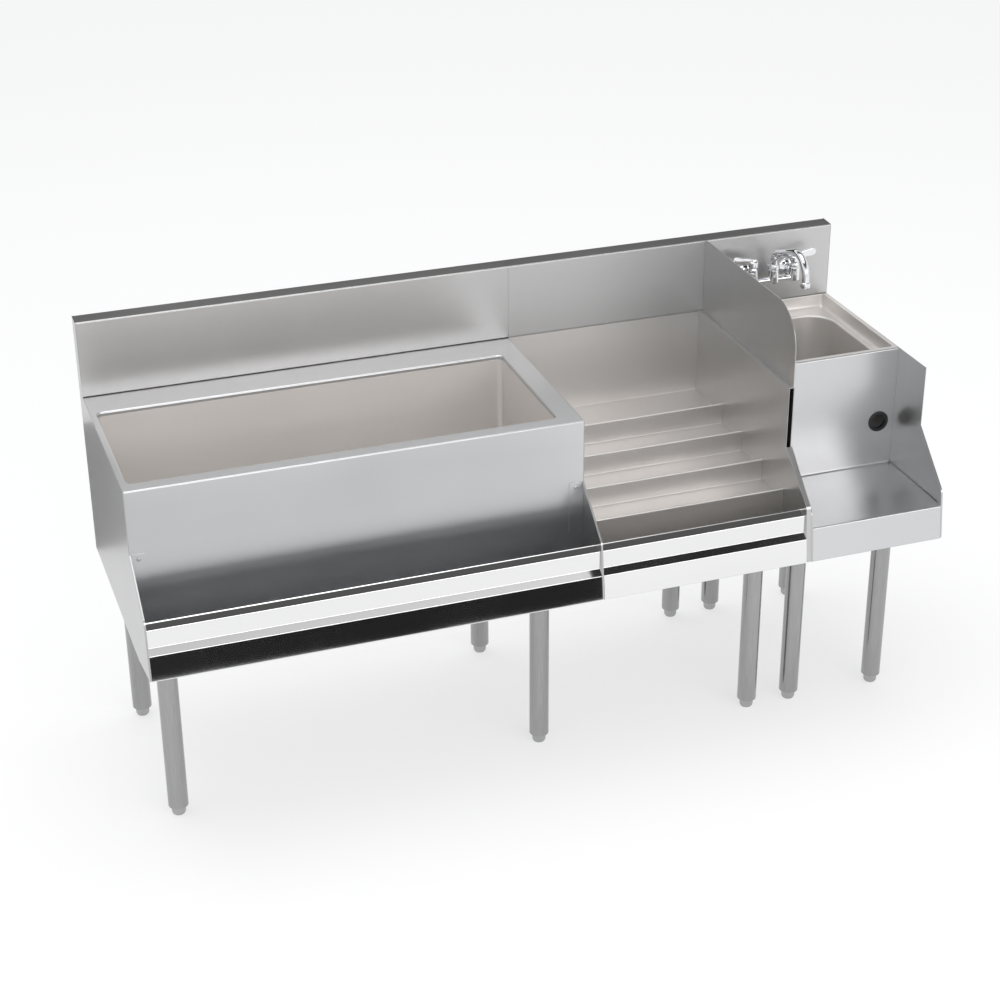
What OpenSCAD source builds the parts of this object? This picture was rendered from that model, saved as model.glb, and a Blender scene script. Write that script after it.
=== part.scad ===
// Underbar work station in folded stainless sheet: an insulated ice bin, a tiered bottle
// display and a narrow blender station with a dump sink, on tube legs with bullet feet.
// +X is the right-hand end, +Y is the wall, +Z is up. The origin is on the floor, under
// the middle of the outline. All sizes are millimetres.

/* [Overall] */
// Width of the ice bin section
bin_w = 914.4; // [762:0.1:1219]
// Width of the bottle display section
display_w = 457.2; // [300:0.1:610]
// Width of the blender station with the sink
sink_w = 304.8; // [290:0.1:457]
// Depth from the wall to the front of the rail
overall_d = 609.6; // [580:0.1:700]
// Height of the working rim above the floor
rim_h = 762; // [700:1:900]
// Depth of the body from the splash face to the front panel
body_d = 450; // [400:1:480]
// Drop from the rim to the bottom edge of the rails and of the shelf lip
lip_drop = 342; // [300:1:360]
// Height of the channels that carry the body on its legs
channel_h = 25; // [15:1:40]

/* [Back splash] */
// Rise of the back splash above the rim
splash_h = 165; // [100:1:250]
// Rise of the top of the back splash from its front edge to the wall
splash_pitch = 2; // [0.5:0.5:10]
// Thickness of the back splash channel
splash_t = 38.1; // [25:0.1:60]
// Turned-down flange behind the splash
splash_return = 32; // [15:1:60]

/* [Sheet] */
// Thickness of panels, rims and rails
sheet = 1.5; // [1:0.1:2]
// Thickness of drawn tubs and liners
liner_sheet = 1.2; // [0.8:0.1:1.5]
// Outside radius of the folds
fold_r = 3; // [2.2:0.1:5]
// Width of the hems and small flanges
hem_w = 14; // [10:1:20]

/* [Ice bin] */
// Rim to the left of the bin opening
bin_rim_left = 14; // [10:1:40]
// Rim to the right of the bin opening
bin_rim_right = 45; // [20:1:70]
// Rim in front of the bin opening
bin_rim_front = 33; // [20:1:60]
// Ledge behind the bin opening
bin_rim_rear = 82; // [40:1:110]
// Depth of the ice bin from its rim to its floor
bin_depth = 304.8; // [220:0.1:320]
// Corner radius of the bin liner
bin_corner_r = 12; // [10:1:30]
// Floor cove radius of the bin liner
bin_cove_r = 5; // [3:0.5:8]
// Thickness of the foam under the bin's tub
foam_under = 31; // [20:1:45]
// Outer radius of the bin drain pipe
bin_pipe_r = 16.7; // [13:0.1:25]

/* [Rails and end panels] */
// Drop from the rim to the knee where the end panels start to slope
knee_drop = 132; // [90:1:160]
// Drop from the rim to the nose of the bin and display panels
nose_drop = 221; // [200:1:230]
// Drop from the rim to the nose of the sink panels
sink_nose_drop = 236; // [215:1:250]
// Backward lean of the front edges, degrees
lean = 7; // [3:0.5:12]
// Height of a rail from its bottom edge to its top edge
rail_h = 119; // [110:1:130]
// Height of the lower, proud band of a rail
rail_band_h = 52; // [35:1:60]
// Height of the upper band of a rail
rail_upper_h = 36; // [25:1:45]
// Height of the sloping step between the bands of a rail
rail_step_h = 14; // [8:1:20]
// Depth of the sloping step between the bands of a rail
rail_step_d = 9; // [4:0.5:12]

/* [Bottle display] */
// Number of tiers in the display
tiers = 4; // [2:1:4]
// Front to back depth of one tier
tier_d = 101.6; // [85:0.1:108]
// Drop from one tier to the next
tier_drop = 21.3; // [15:0.1:40]
// Height of the raised lip in front of each tread
tier_lip_h = 25.4; // [15:0.1:30]
// Thickness of the folded lips
tier_lip_t = 5; // [4.8:0.1:8]
// Drop from the rim to the top of the front tier's lip
tier_nose_drop = 227; // [215:1:240]
// Gap between the display wall and the sink wall
wall_gap = 9; // [6:0.5:20]

/* [Side guard] */
// Rise of the side guard above the rim
guard_h = 165; // [80:1:165]
// Radius of the guard's top front corner
guard_r = 90; // [20:1:100]

/* [Blender station and sink] */
// Distance from the splash face to the front face above the shelf
face_d = 337; // [300:1:360]
// Drop from the rim to the blender shelf
shelf_drop = 268; // [240:1:290]
// Width of the flat rim beside the recessed sink deck
deck_rim = 10; // [8:1:20]
// Width of the flat rim in front of the recessed sink deck
deck_rim_front = 13; // [8:1:20]
// Depth of the recessed sink deck
deck_drop = 30; // [15:1:40]
// Corner radius of the recessed sink deck
deck_r = 8; // [4:1:16]
// Flat deck beside the bowl
deck_side = 16; // [12:1:24]
// Flat deck behind the bowl
deck_rear = 38; // [20:1:60]
// Flat deck in front of the bowl
deck_front = 13; // [10:1:30]
// Depth of the bowl below its deck
bowl_depth = 254; // [150:1:280]
// Corner radius of the bowl
bowl_corner_r = 60; // [30:1:75]
// Floor cove radius of the bowl
bowl_cove_r = 25; // [12:1:40]
// Radius of the cord hole in the front face
cord_hole_r = 19; // [14:0.5:24]
// Height of the cord hole above the shelf
cord_hole_up = 102; // [60:1:160]
// Distance of the cord hole from the right end
cord_hole_in = 38; // [32:1:80]

/* [Faucet] */
// Distance between the two faucet inlets
faucet_centres = 101.6; // [90:0.1:120]
// Height of the faucet inlets above the rim
faucet_up = 74; // [60:1:90]
// Distance from the splash face to the valve axes
faucet_out = 32; // [28:1:40]
// Outer radius of the faucet shanks
shank_r = 10.5; // [9:0.1:12]
// Outer radius of the spout tube
spout_r = 8; // [6:0.5:9]
// Reach of the spout from its swivel axis
spout_reach = 151; // [150:1:200]
// Upward slope of the spout, degrees
spout_rise = 20; // [10:1:25]
// Bend radius of the spout at the body
spout_bend_r = 24; // [20:1:30]
// Bend radius of the spout at its end
spout_end_r = 42; // [30:1:45]
// Length of the lever handles from the valve axis
lever_len = 50; // [40:1:60]
// Radial clearance of parts that turn or slide
run_fit = 0.06; // [0.03:0.01:0.1]

/* [Sink drain] */
// Outer radius of the sink drain flange
drain_rim_r = 57; // [50:1:62]
// Radius of the hole in the bowl for the drain
drain_hole_r = 44; // [38:0.5:46]
// Outer radius of the sink tailpiece
tail_r = 19.05; // [15:0.05:22]
// How far the drain pipes hang below the body
pipe_hang = 22; // [10:1:60]

/* [Legs and feet] */
// Outer radius of the leg tubes
leg_r = 20.65; // [15:0.05:25]
// Wall thickness of the leg tubes
leg_wall = 1.6; // [1:0.1:3]
// Distance of the outer legs from the left end
leg_in_left = 57; // [45:1:100]
// Distance of the second leg pair from the right side of the bin
leg_in_bin = 77; // [45:1:120]
// Distance of the display legs from the joint with the sink section
leg_in_display = 58; // [48:1:100]
// Distance of the first sink legs from the joint with the display section
leg_in_sink = 43.5; // [36:0.5:58]
// Distance of the last leg pair from the right end
leg_in_right = 58; // [45:1:100]
// Distance of the bin's front legs behind the front panel
leg_back_bin = 47; // [30:1:80]
// Distance of the other front legs behind the front panel
leg_back_front = 22; // [20:1:60]
// Distance of the rear legs in front of the splash face
leg_back_rear = 10; // [0:1:60]
// Outer radius of a bullet foot
foot_r = 14.5; // [12:0.5:18]
// Height of a bullet foot below its tube
foot_h = 21; // [15:1:40]
// Radius of the threaded stem of a foot
stem_r = 7.9; // [6:0.1:9]
// Length of the threaded stem of a foot
stem_len = 52; // [40:1:80]

/* [Hidden] */
$fn = 48;

// Gap that parts of one assembly keep where they only rest on each other
seat_gap = 0.3;
// Overshoot of cuts through a wall
cut = 1;

// Section lines across the width
x_left = -(bin_w + display_w + sink_w) / 2;
x_seam_bin = x_left + bin_w;
x_seam_sink = x_seam_bin + display_w;
x_right = x_seam_sink + sink_w;

// Section lines front to back
y_wall = overall_d / 2;
y_lip = -overall_d / 2;
y_splash = y_wall - splash_t;
y_body = y_splash - body_d;
y_face = y_splash - face_d;

// Heights
splash_top = rim_h + splash_h;
lip_h = rim_h - lip_drop;
knee_h = rim_h - knee_drop;
nose_h = rim_h - nose_drop;
sink_nose_h = rim_h - sink_nose_drop;
rail_top_h = lip_h + rail_h;
tier_nose_h = rim_h - tier_nose_drop;
shelf_h = rim_h - shelf_drop;
deck_h = rim_h - deck_drop;
bowl_floor_h = deck_h - bowl_depth;
bin_floor_h = rim_h - bin_depth;
foam_floor_h = bin_floor_h - liner_sheet - foam_under;
underside_h = foam_floor_h - channel_h;

// The front edges of panels, rails and shelf lip lie on one leaning line
function front_y(z) = y_lip + tan(lean) * (z - lip_h);

// Folded sheet: a line with rounded corners, given a thickness on its left side.
// turn_steps is the number of straight pieces in each rounded fold
turn_steps = 4;
function unit(v) = v / norm(v);
function left_of(v) = [-v[1], v[0]];
function turned(v, a) = [v[0] * cos(a) - v[1] * sin(a), v[0] * sin(a) + v[1] * cos(a)];
function turn_angle(a, b) = atan2(a[0] * b[1] - a[1] * b[0], a[0] * b[0] + a[1] * b[1]);
function fold_at(p, i, r) =
    let (a = unit(p[i] - p[i - 1]), b = unit(p[i + 1] - p[i]), turn = turn_angle(a, b))
    let (side = sign(turn), start = p[i] - a * r * tan(abs(turn) / 2))
    let (centre = start + left_of(a) * r * side)
    [for (k = [0:turn_steps]) centre + turned(start - centre, turn * k / turn_steps)];
function fold_line(p, r) = [
    for (i = [0:len(p) - 1])
        each (i == 0 || i == len(p) - 1) ? [p[i]] : fold_at(p, i, r)
];
function beside(p, i, t) =
    let (n = len(p) - 1, a = unit(p[max(i, 1)] - p[max(i, 1) - 1]))
    let (b = unit(p[min(i + 1, n)] - p[min(i + 1, n) - 1]))
    p[i] + t * (left_of(a) + left_of(b)) / (1 + a * b);
function sheet_outline(p, t) = concat(p, [for (i = [len(p) - 1:-1:0]) beside(p, i, t)]);

// A fore-and-aft outline, [y, z], carried along X from x0 to x1
module along_x(x0, x1) {
    translate([x0, 0, 0]) rotate([90, 0, 90]) linear_extrude(x1 - x0) children();
}

module folded_along_x(p, x0, x1, t = sheet, r = fold_r) {
    along_x(x0, x1) polygon(sheet_outline(fold_line(p, r), t));
}

module block(low, high) {
    translate(low) cube(high - low);
}

module round_rect(low, high, r) {
    translate([low[0] + r, low[1]]) square([high[0] - low[0] - 2 * r, high[1] - low[1]]);
    translate([low[0], low[1] + r]) square([high[0] - low[0], high[1] - low[1] - 2 * r]);
    for (x = [low[0] + r, high[0] - r], y = [low[1] + r, high[1] - r])
        translate([x, y]) circle(r);
}

// A drawn tub: rounded upright corners of radius big, floor cove of radius small
module tub(low, high, z0, z1, big, small) {
    inset = [small, small];
    translate([0, 0, z0 + small]) linear_extrude(z1 - z0 - small) round_rect(low, high, big);
    translate([0, 0, z0]) linear_extrude(small + cut / 2)
        round_rect(low + inset, high - inset, big - small);
    for (x = [low[0] + big, high[0] - big], y = [low[1] + big, high[1] - big])
        translate([x, y, z0 + small]) rotate_extrude() intersection() {
            translate([big - small, 0]) circle(small);
            translate([0, -small]) square([big, small + cut / 2]);
        }
    for (y = [low[1] + small, high[1] - small])
        translate([low[0] + big, y, z0 + small]) rotate([0, 90, 0])
            cylinder(h = high[0] - low[0] - 2 * big, r = small);
    for (x = [low[0] + small, high[0] - small])
        translate([x, low[1] + big, z0 + small]) rotate([-90, 0, 0])
            cylinder(h = high[1] - low[1] - 2 * big, r = small);
}

// ---------------------------------------------------------------- back splash

module splash_section(x0, x1) {
    path = [
        [y_splash + hem_w, rim_h], [y_splash, rim_h], [y_splash, splash_top - splash_pitch],
        [y_wall, splash_top], [y_wall, splash_top - splash_return]
    ];
    folded_along_x(path, x0, x1, -sheet);
}

module splash_bin() {
    color("silver") splash_section(x_left + sheet, x_seam_bin - seat_gap / 2);
}

module splash_display() {
    color("silver") splash_section(x_seam_bin + seat_gap / 2, x_seam_sink - seat_gap / 2);
}

faucet_x = (x_seam_sink + x_right) / 2;
faucet_y = y_splash - faucet_out;
faucet_z = rim_h + faucet_up;

module splash_sink() {
    color("silver") difference() {
        splash_section(x_seam_sink + seat_gap / 2, x_right - sheet);
        for (side = [-1, 1])
            translate([faucet_x + side * faucet_centres / 2, y_splash - cut, faucet_z])
                rotate([-90, 0, 0]) cylinder(h = sheet + 2 * cut, r = shank_r + seat_gap);
    }
}

module splash_end_caps() {
    color("lightgray") for (x = [x_left, x_right - sheet])
        along_x(x, x + sheet) polygon([
            [y_splash, rim_h], [y_wall, rim_h], [y_wall, splash_top],
            [y_splash, splash_top - splash_pitch]
        ]);
}

// ---------------------------------------------------------------- end and side panels

// Front of a panel, [y, z], set in by inset from its front edges
function panel_front(nose, inset) = [
    [y_body + inset, knee_h + inset / 2],
    [front_y(nose) + inset, nose - inset / 2],
    [front_y(lip_h) + inset, lip_h]
];
function panel_outline(nose, rear) = concat(
    [[rear, underside_h], [rear, rim_h], [y_body, rim_h]],
    panel_front(nose, 0),
    [[y_body, underside_h]]
);

// The doubled, hemmed strip along the sloping and front edges of a panel
function hem_outline(nose) =
    concat(panel_front(nose, 0), [for (i = [2:-1:0]) panel_front(nose, hem_w)[i]]);

// A panel's sheet, and its hem, which ends at the front of the body
module side_sheet(x0, nose, hem_from, hem_to, rear = y_wall) {
    along_x(x0, x0 + sheet) polygon(panel_outline(nose, rear));
    along_x(hem_from, hem_to) difference() {
        polygon(hem_outline(nose));
        translate([y_body, nose]) square([2 * hem_w, rim_h - nose]);
    }
}

// Thickness of the hemmed strip
hem_t = 2.4;

module end_panel_left() {
    color("silver") side_sheet(x_left, nose_h, x_left + sheet, x_left + sheet + hem_t);
}

module bin_side_panel() {
    color("silver") side_sheet(x_seam_bin - sheet, nose_h,
        x_seam_bin - sheet - hem_t, x_seam_bin - sheet);
}

// The wall between display and sink is double: its gap is open above the knee and
// closed along the slope by the hem of the display's own sheet
x_display_wall = x_seam_sink - wall_gap - sheet;

module display_side_panel() {
    color("silver") side_sheet(x_display_wall, nose_h,
        x_display_wall + sheet, x_seam_sink, y_wall - sheet);
}

module sink_side_panel() {
    color("silver") side_sheet(x_seam_sink, sink_nose_h,
        x_seam_sink + sheet, x_seam_sink + sheet + hem_t, y_wall - sheet);
}

module end_panel_right() {
    color("silver") side_sheet(x_right - sheet, sink_nose_h,
        x_right - sheet - hem_t, x_right - sheet);
}

// ---------------------------------------------------------------- ice bin

bin_open_low = [x_left + bin_rim_left, y_body + bin_rim_front];
bin_open_high = [x_seam_bin - bin_rim_right, y_splash - bin_rim_rear];
bin_drain = [(bin_open_low[0] + bin_open_high[0]) / 2, (bin_open_low[1] + bin_open_high[1]) / 2];
liner_out = [liner_sheet, liner_sheet];
bin_sump_r = 44;
bin_sump_d = 6;

module bin_top_frame() {
    color("whitesmoke") difference() {
        block([x_left + sheet, y_body, rim_h - sheet], [x_seam_bin - sheet, y_splash, rim_h]);
        translate([0, 0, rim_h - sheet - cut]) linear_extrude(sheet + 2 * cut)
            round_rect(bin_open_low, bin_open_high, bin_corner_r);
    }
}

module bin_liner() {
    color("gainsboro") difference() {
        union() {
            translate([0, 0, bin_floor_h - liner_sheet]) linear_extrude(bin_depth - sheet + liner_sheet)
                round_rect(bin_open_low - liner_out, bin_open_high + liner_out,
                    bin_corner_r + liner_sheet);
            translate([bin_drain[0], bin_drain[1], bin_floor_h - bin_sump_d - liner_sheet])
                cylinder(h = bin_sump_d + liner_sheet, r = bin_sump_r + liner_sheet);
        }
        tub(bin_open_low, bin_open_high, bin_floor_h, rim_h - sheet + cut,
            bin_corner_r, bin_cove_r);
        translate([bin_drain[0], bin_drain[1], bin_floor_h - bin_sump_d])
            cylinder(h = bin_sump_d + cut, r = bin_sump_r);
        translate([bin_drain[0], bin_drain[1], bin_floor_h - bin_sump_d - liner_sheet - cut])
            cylinder(h = liner_sheet + 2 * cut, r = bin_thread_r + seat_gap);
    }
}

module bin_insulation() {
    room = [seat_gap + liner_sheet, seat_gap + liner_sheet];
    color("khaki") difference() {
        block([x_left + sheet + hem_t, y_body + sheet, foam_floor_h + sheet],
            [x_seam_bin - sheet - hem_t, y_splash - bin_rim_rear / 3, rim_h - sheet - seat_gap]);
        translate([0, 0, bin_floor_h - liner_sheet - seat_gap]) linear_extrude(bin_depth)
            round_rect(bin_open_low - room, bin_open_high + room, bin_corner_r);
        translate([bin_drain[0], bin_drain[1], foam_floor_h])
            cylinder(h = bin_depth, r = bin_sump_r + liner_sheet + seat_gap);
    }
}

module bin_front_panel() {
    color("lightsteelblue") block([x_left + sheet, y_body, underside_h],
        [x_seam_bin - sheet, y_body + sheet, rim_h - sheet]);
}

module bin_bottom_panel() {
    color("darkgray") difference() {
        union() {
            block([x_left + sheet, y_body + sheet, foam_floor_h],
                [x_seam_bin - sheet, y_wall - sheet, foam_floor_h + sheet]);
            block([x_left + sheet, y_wall - sheet, underside_h],
                [x_seam_bin - sheet, y_wall, rim_h]);
        }
        translate([bin_drain[0], bin_drain[1], foam_floor_h - cut])
            cylinder(h = sheet + 2 * cut, r = bin_thread_r + seat_gap);
    }
}

pipe_end_h = underside_h - pipe_hang;
bin_flange_t = 3;
bin_bore_r = bin_pipe_r - 3.4;
bin_thread_r = bin_pipe_r + 1.5;
bin_nut_h = 12;
// Threads stand this far out of their nuts
thread_out = 3;

module bin_drain_fitting() {
    top = bin_floor_h - bin_sump_d;
    thread_low = foam_floor_h - bin_nut_h - thread_out;
    color("goldenrod") translate([bin_drain[0], bin_drain[1], 0]) difference() {
        union() {
            translate([0, 0, pipe_end_h]) cylinder(h = top - pipe_end_h, r = bin_pipe_r);
            translate([0, 0, thread_low]) cylinder(h = top - thread_low, r = bin_thread_r);
            translate([0, 0, top])
                cylinder(h = bin_flange_t, r1 = bin_thread_r + 11, r2 = bin_thread_r + 9);
        }
        translate([0, 0, pipe_end_h - cut])
            cylinder(h = top - pipe_end_h + bin_flange_t + 2 * cut, r = bin_bore_r);
    }
}

module bin_drain_locknut() {
    low = foam_floor_h - bin_nut_h;
    color("goldenrod") translate([bin_drain[0], bin_drain[1], low]) difference() {
        cylinder(h = bin_nut_h, r = bin_thread_r + 8, $fn = 6);
        translate([0, 0, -cut]) cylinder(h = bin_nut_h + 2 * cut, r = bin_thread_r + run_fit);
    }
}

strainer_holes = 12;

module bin_strainer_plate() {
    plate_h = bin_floor_h - bin_sump_d + bin_flange_t;
    color("silver") translate([bin_drain[0], bin_drain[1], plate_h]) difference() {
        cylinder(h = sheet, r = bin_sump_r - 2);
        for (i = [0:strainer_holes - 1]) rotate([0, 0, i * 360 / strainer_holes])
            translate([bin_sump_r * 0.68, 0, -cut]) cylinder(h = sheet + 2 * cut, r = 4);
        for (i = [0:5]) rotate([0, 0, i * 60])
            translate([bin_sump_r * 0.35, 0, -cut]) cylinder(h = sheet + 2 * cut, r = 4);
    }
}

// ---------------------------------------------------------------- rails

rail_slope = rail_top_h - lip_h - rail_band_h - rail_step_h - rail_upper_h;
rail_hem = 13;

// Front of a rail from its floor to its hem: a leaning band with a crease, a sloping
// step, an upright band and a chamfered top that is hemmed inside
function rail_front() =
    let (band_top = lip_h + rail_band_h, step_top = band_top + rail_step_h)
    let (upper_y = front_y(band_top) + rail_step_d, upper_top = step_top + rail_upper_h)
    [
        [y_lip, lip_h],
        [front_y(lip_h + rail_band_h / 2) - 1, lip_h + rail_band_h / 2],
        [front_y(band_top), band_top],
        [upper_y, step_top],
        [upper_y + 2, upper_top],
        [upper_y + 2 + rail_slope, rail_top_h],
        [upper_y + 2 + rail_slope, rail_top_h - rail_hem]
    ];
rail_back_h = nose_h - 20;

module rail(x0, x1) {
    path = concat([[y_body, rail_back_h], [y_body, lip_h]], rail_front());
    folded_along_x(path, x0, x1, -sheet, 2.4);
}

module bin_rail() {
    color("dimgray") rail(x_left + sheet + hem_t, x_seam_bin - sheet - hem_t);
}

module display_rail() {
    color("lightgray") rail(x_seam_bin, x_display_wall);
}

bracket_w = 28;
bracket_top = knee_h;
screw_h = bracket_top - 11;
bracket_x = [x_left + sheet + hem_t, x_seam_bin - sheet - hem_t - bracket_w];

module rail_brackets() {
    color("silver") difference() {
        for (x = bracket_x)
            block([x, y_body - sheet, rail_back_h], [x + bracket_w, y_body, bracket_top]);
        for (x = bracket_x)
            translate([x + bracket_w / 2, y_body - sheet - cut, screw_h])
                rotate([-90, 0, 0]) cylinder(h = sheet + 2 * cut, r = 2.5);
    }
}

module rail_screws() {
    color("gray") for (x = bracket_x)
        translate([x + bracket_w / 2, y_body - sheet, screw_h]) rotate([90, 0, 0]) {
            cylinder(h = 1.2, r = 4.2);
            translate([0, 0, 1.2]) cylinder(h = 1, r1 = 4.2, r2 = 2.6);
            translate([0, 0, -sheet]) cylinder(h = sheet, r = 2.4);
        }
}

// ---------------------------------------------------------------- bottle display

// Folded tiers, [y, z]: a flat tread, then a raised lip folded back on itself
function nose_y(i) = y_body + (tiers - 1 - i) * tier_d;
function nose_z(i) = tier_nose_h + (tiers - 1 - i) * tier_drop;
function tier_line() = [
    for (i = [0:tiers - 1]) each [
        [i == 0 ? y_splash : nose_y(i - 1), nose_z(i) - tier_lip_h],
        [nose_y(i) + tier_lip_t, nose_z(i) - tier_lip_h],
        [nose_y(i) + tier_lip_t, nose_z(i)],
        [nose_y(i), nose_z(i)]
    ]
];
tier_back_h = nose_z(0) - tier_lip_h;

module display_back() {
    color("gainsboro") block([x_seam_bin, y_splash, tier_back_h + hem_w],
        [x_display_wall, y_splash + sheet, rim_h - sheet]);
}

module display_tiers() {
    path = concat([[y_splash, tier_back_h + hem_w]], tier_line(), [[y_body, lip_h]]);
    color("gainsboro") folded_along_x(path, x_seam_bin, x_display_wall, sheet, 2.2);
}

// ---------------------------------------------------------------- side guard

module side_guard() {
    front = y_body;
    top = rim_h + guard_h;
    color("dimgray") {
        along_x(x_seam_sink - sheet, x_seam_sink) difference() {
            translate([front, rim_h]) square([y_splash - front, guard_h]);
            difference() {
                translate([front - cut, top - guard_r]) square([guard_r + cut, guard_r + cut]);
                translate([front + guard_r, top - guard_r]) circle(guard_r, $fn = 96);
            }
        }
        block([x_display_wall, front, rim_h], [x_seam_sink - sheet, y_splash, rim_h + sheet]);
    }
}

// ---------------------------------------------------------------- sink and blender shelf

deck_low = [x_seam_sink + deck_rim, y_face + deck_rim_front];
deck_high = [x_right - deck_rim, y_splash - seat_gap];
bowl_low = [deck_low[0] + deck_side, deck_low[1] + deck_front];
bowl_high = [deck_high[0] - deck_side, y_splash - deck_rear];
drain_at = [(bowl_low[0] + bowl_high[0]) / 2, (bowl_low[1] + bowl_high[1]) / 2];

module sink_deck() {
    out = [sheet, sheet];
    color("gainsboro") difference() {
        union() {
            block([x_seam_sink + sheet, y_face, rim_h - sheet], [x_right - sheet, y_splash, rim_h]);
            translate([0, 0, deck_h - sheet]) linear_extrude(deck_drop)
                round_rect(deck_low - out, deck_high + [sheet, 0], deck_r + sheet);
        }
        translate([0, 0, deck_h]) linear_extrude(deck_drop + cut)
            round_rect(deck_low, deck_high - [0, sheet], deck_r);
        translate([0, 0, deck_h - sheet - cut]) linear_extrude(sheet + 2 * cut)
            round_rect(bowl_low, bowl_high, bowl_corner_r);
    }
}

module sink_bowl() {
    out = [liner_sheet, liner_sheet];
    color("gainsboro") difference() {
        tub(bowl_low - out, bowl_high + out, bowl_floor_h - liner_sheet, deck_h - sheet,
            bowl_corner_r + liner_sheet, bowl_cove_r + liner_sheet);
        tub(bowl_low, bowl_high, bowl_floor_h, deck_h - sheet + cut, bowl_corner_r, bowl_cove_r);
        translate([drain_at[0], drain_at[1], bowl_floor_h - liner_sheet - cut])
            cylinder(h = liner_sheet + 2 * cut, r = drain_hole_r);
    }
}

cord_hole = [x_right - cord_hole_in, shelf_h + cord_hole_up];

module sink_front_panel() {
    color("lightsteelblue") difference() {
        block([x_seam_sink + sheet, y_face, shelf_h], [x_right - sheet, y_face + sheet, rim_h - sheet]);
        translate([cord_hole[0], y_face - cut, cord_hole[1]]) rotate([-90, 0, 0])
            cylinder(h = sheet + 2 * cut, r = cord_hole_r);
    }
}

module cord_grommet() {
    lip = 4;
    side = 3.5;
    bore = cord_hole_r - 3;
    profile = [
        [bore, -side], [cord_hole_r + lip - 1.5, -side], [cord_hole_r + lip, -side + 1.5],
        [cord_hole_r + lip, 0], [cord_hole_r, 0], [cord_hole_r, sheet],
        [cord_hole_r + lip, sheet], [cord_hole_r + lip, sheet + side - 1.5],
        [cord_hole_r + lip - 1.5, sheet + side], [bore, sheet + side]
    ];
    color("black") translate([cord_hole[0], y_face, cord_hole[1]]) rotate([-90, 0, 0])
        rotate_extrude() polygon(profile);
}

module blender_shelf() {
    path = [
        [y_face, shelf_h], [front_y(shelf_h), shelf_h], [y_lip, lip_h], [y_lip + hem_w, lip_h]
    ];
    color("lightgray") folded_along_x(path,
        x_seam_sink + sheet + hem_t, x_right - sheet - hem_t);
}

module sink_back_panel() {
    color("darkgray") {
        block([x_seam_bin, y_wall - sheet, underside_h], [x_right - sheet, y_wall, rim_h]);
        for (x = [[x_seam_bin, x_display_wall], [x_seam_sink + sheet, x_right - sheet]])
            block([x[0], y_splash + sheet, rim_h - sheet], [x[1], y_wall - sheet, rim_h]);
    }
}

// ---------------------------------------------------------------- sink drain

flange_t = 2;
cup_r = drain_hole_r - 1;
cup_d = 34;
cup_floor_t = 2;
tail_bore_r = tail_r - 1.5;
// The tailpiece is flared where it stands in the collar under the cup
tail_flare_r = tail_r + 1.5;
collar_h = 8;
collar_r = tail_flare_r + 3;
// The basket rests on a cone of the flange, from seat_top down to seat_low, at 45 degrees
seat_top = bowl_floor_h - 3;
seat_low = bowl_floor_h - 6;

module sink_drain_flange() {
    profile = [
        [drain_rim_r, bowl_floor_h], [drain_rim_r - 3, bowl_floor_h + flange_t],
        [cup_r - 4, bowl_floor_h + flange_t], [cup_r - 5, seat_top], [cup_r - 8, seat_low],
        [cup_r - 8, bowl_floor_h - cup_d + cup_floor_t],
        [tail_flare_r + run_fit, bowl_floor_h - cup_d + cup_floor_t],
        [tail_flare_r + run_fit, bowl_floor_h - cup_d - collar_h],
        [collar_r, bowl_floor_h - cup_d - collar_h], [collar_r, bowl_floor_h - cup_d],
        [cup_r - 5, bowl_floor_h - cup_d], [cup_r - 5, bowl_floor_h - 18],
        [cup_r, bowl_floor_h - 14], [cup_r, bowl_floor_h]
    ];
    color("silver") translate([drain_at[0], drain_at[1], 0]) rotate_extrude() polygon(profile);
}

module sink_drain_locknut() {
    nut_h = 8;
    top = bowl_floor_h - liner_sheet;
    color("goldenrod") translate([drain_at[0], drain_at[1], top - nut_h]) difference() {
        cylinder(h = nut_h, r = drain_hole_r + 8);
        translate([0, 0, -cut]) cylinder(h = nut_h + 2 * cut, r = cup_r + run_fit);
        for (i = [0:7]) rotate([0, 0, i * 45]) translate([drain_hole_r + 8, 0, -cut])
            cylinder(h = nut_h + 2 * cut, r = 4);
    }
}

module sink_tailpiece() {
    top = bowl_floor_h - cup_d + cup_floor_t;
    flare_low = bowl_floor_h - cup_d - collar_h - thread_out;
    color("silver") translate([drain_at[0], drain_at[1], 0]) difference() {
        union() {
            translate([0, 0, pipe_end_h]) cylinder(h = top - pipe_end_h, r = tail_r);
            translate([0, 0, flare_low]) cylinder(h = top - flare_low, r = tail_flare_r);
        }
        translate([0, 0, pipe_end_h - cut]) cylinder(h = top - pipe_end_h + 2 * cut, r = tail_bore_r);
    }
}

// The lift-out basket: a perforated cup with a knob, resting on the flange's seat
basket_r = cup_r - 9.5;
basket_low = bowl_floor_h - 27;
lip_low = seat_low - 1.5 + seat_gap * sqrt(2);

module basket_strainer() {
    profile = [
        [0, basket_low], [basket_r - 4, basket_low], [basket_r, basket_low + 14],
        [basket_r, lip_low], [basket_r + 3.5, lip_low + 3.5], [basket_r + 3.5, lip_low + 4.5],
        [basket_r + 2, lip_low + 5], [basket_r - 1.5, lip_low + 1],
        [basket_r - 5.5, basket_low + 1.5], [4, basket_low + 1.5], [3, bowl_floor_h - 10],
        [7, bowl_floor_h - 7], [7, bowl_floor_h - 4], [5, bowl_floor_h - 2],
        [0, bowl_floor_h - 2]
    ];
    color("silver") translate([drain_at[0], drain_at[1], 0]) difference() {
        rotate_extrude() polygon(profile);
        for (ring = [[10, 0.45], [16, 0.75]], i = [0:ring[0] - 1])
            rotate([0, 0, i * 360 / ring[0]])
                translate([basket_r * ring[1], 0, basket_low - cut])
                    cylinder(h = 1.5 + 2 * cut, r = 2.2);
    }
}

// ---------------------------------------------------------------- faucet

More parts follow.
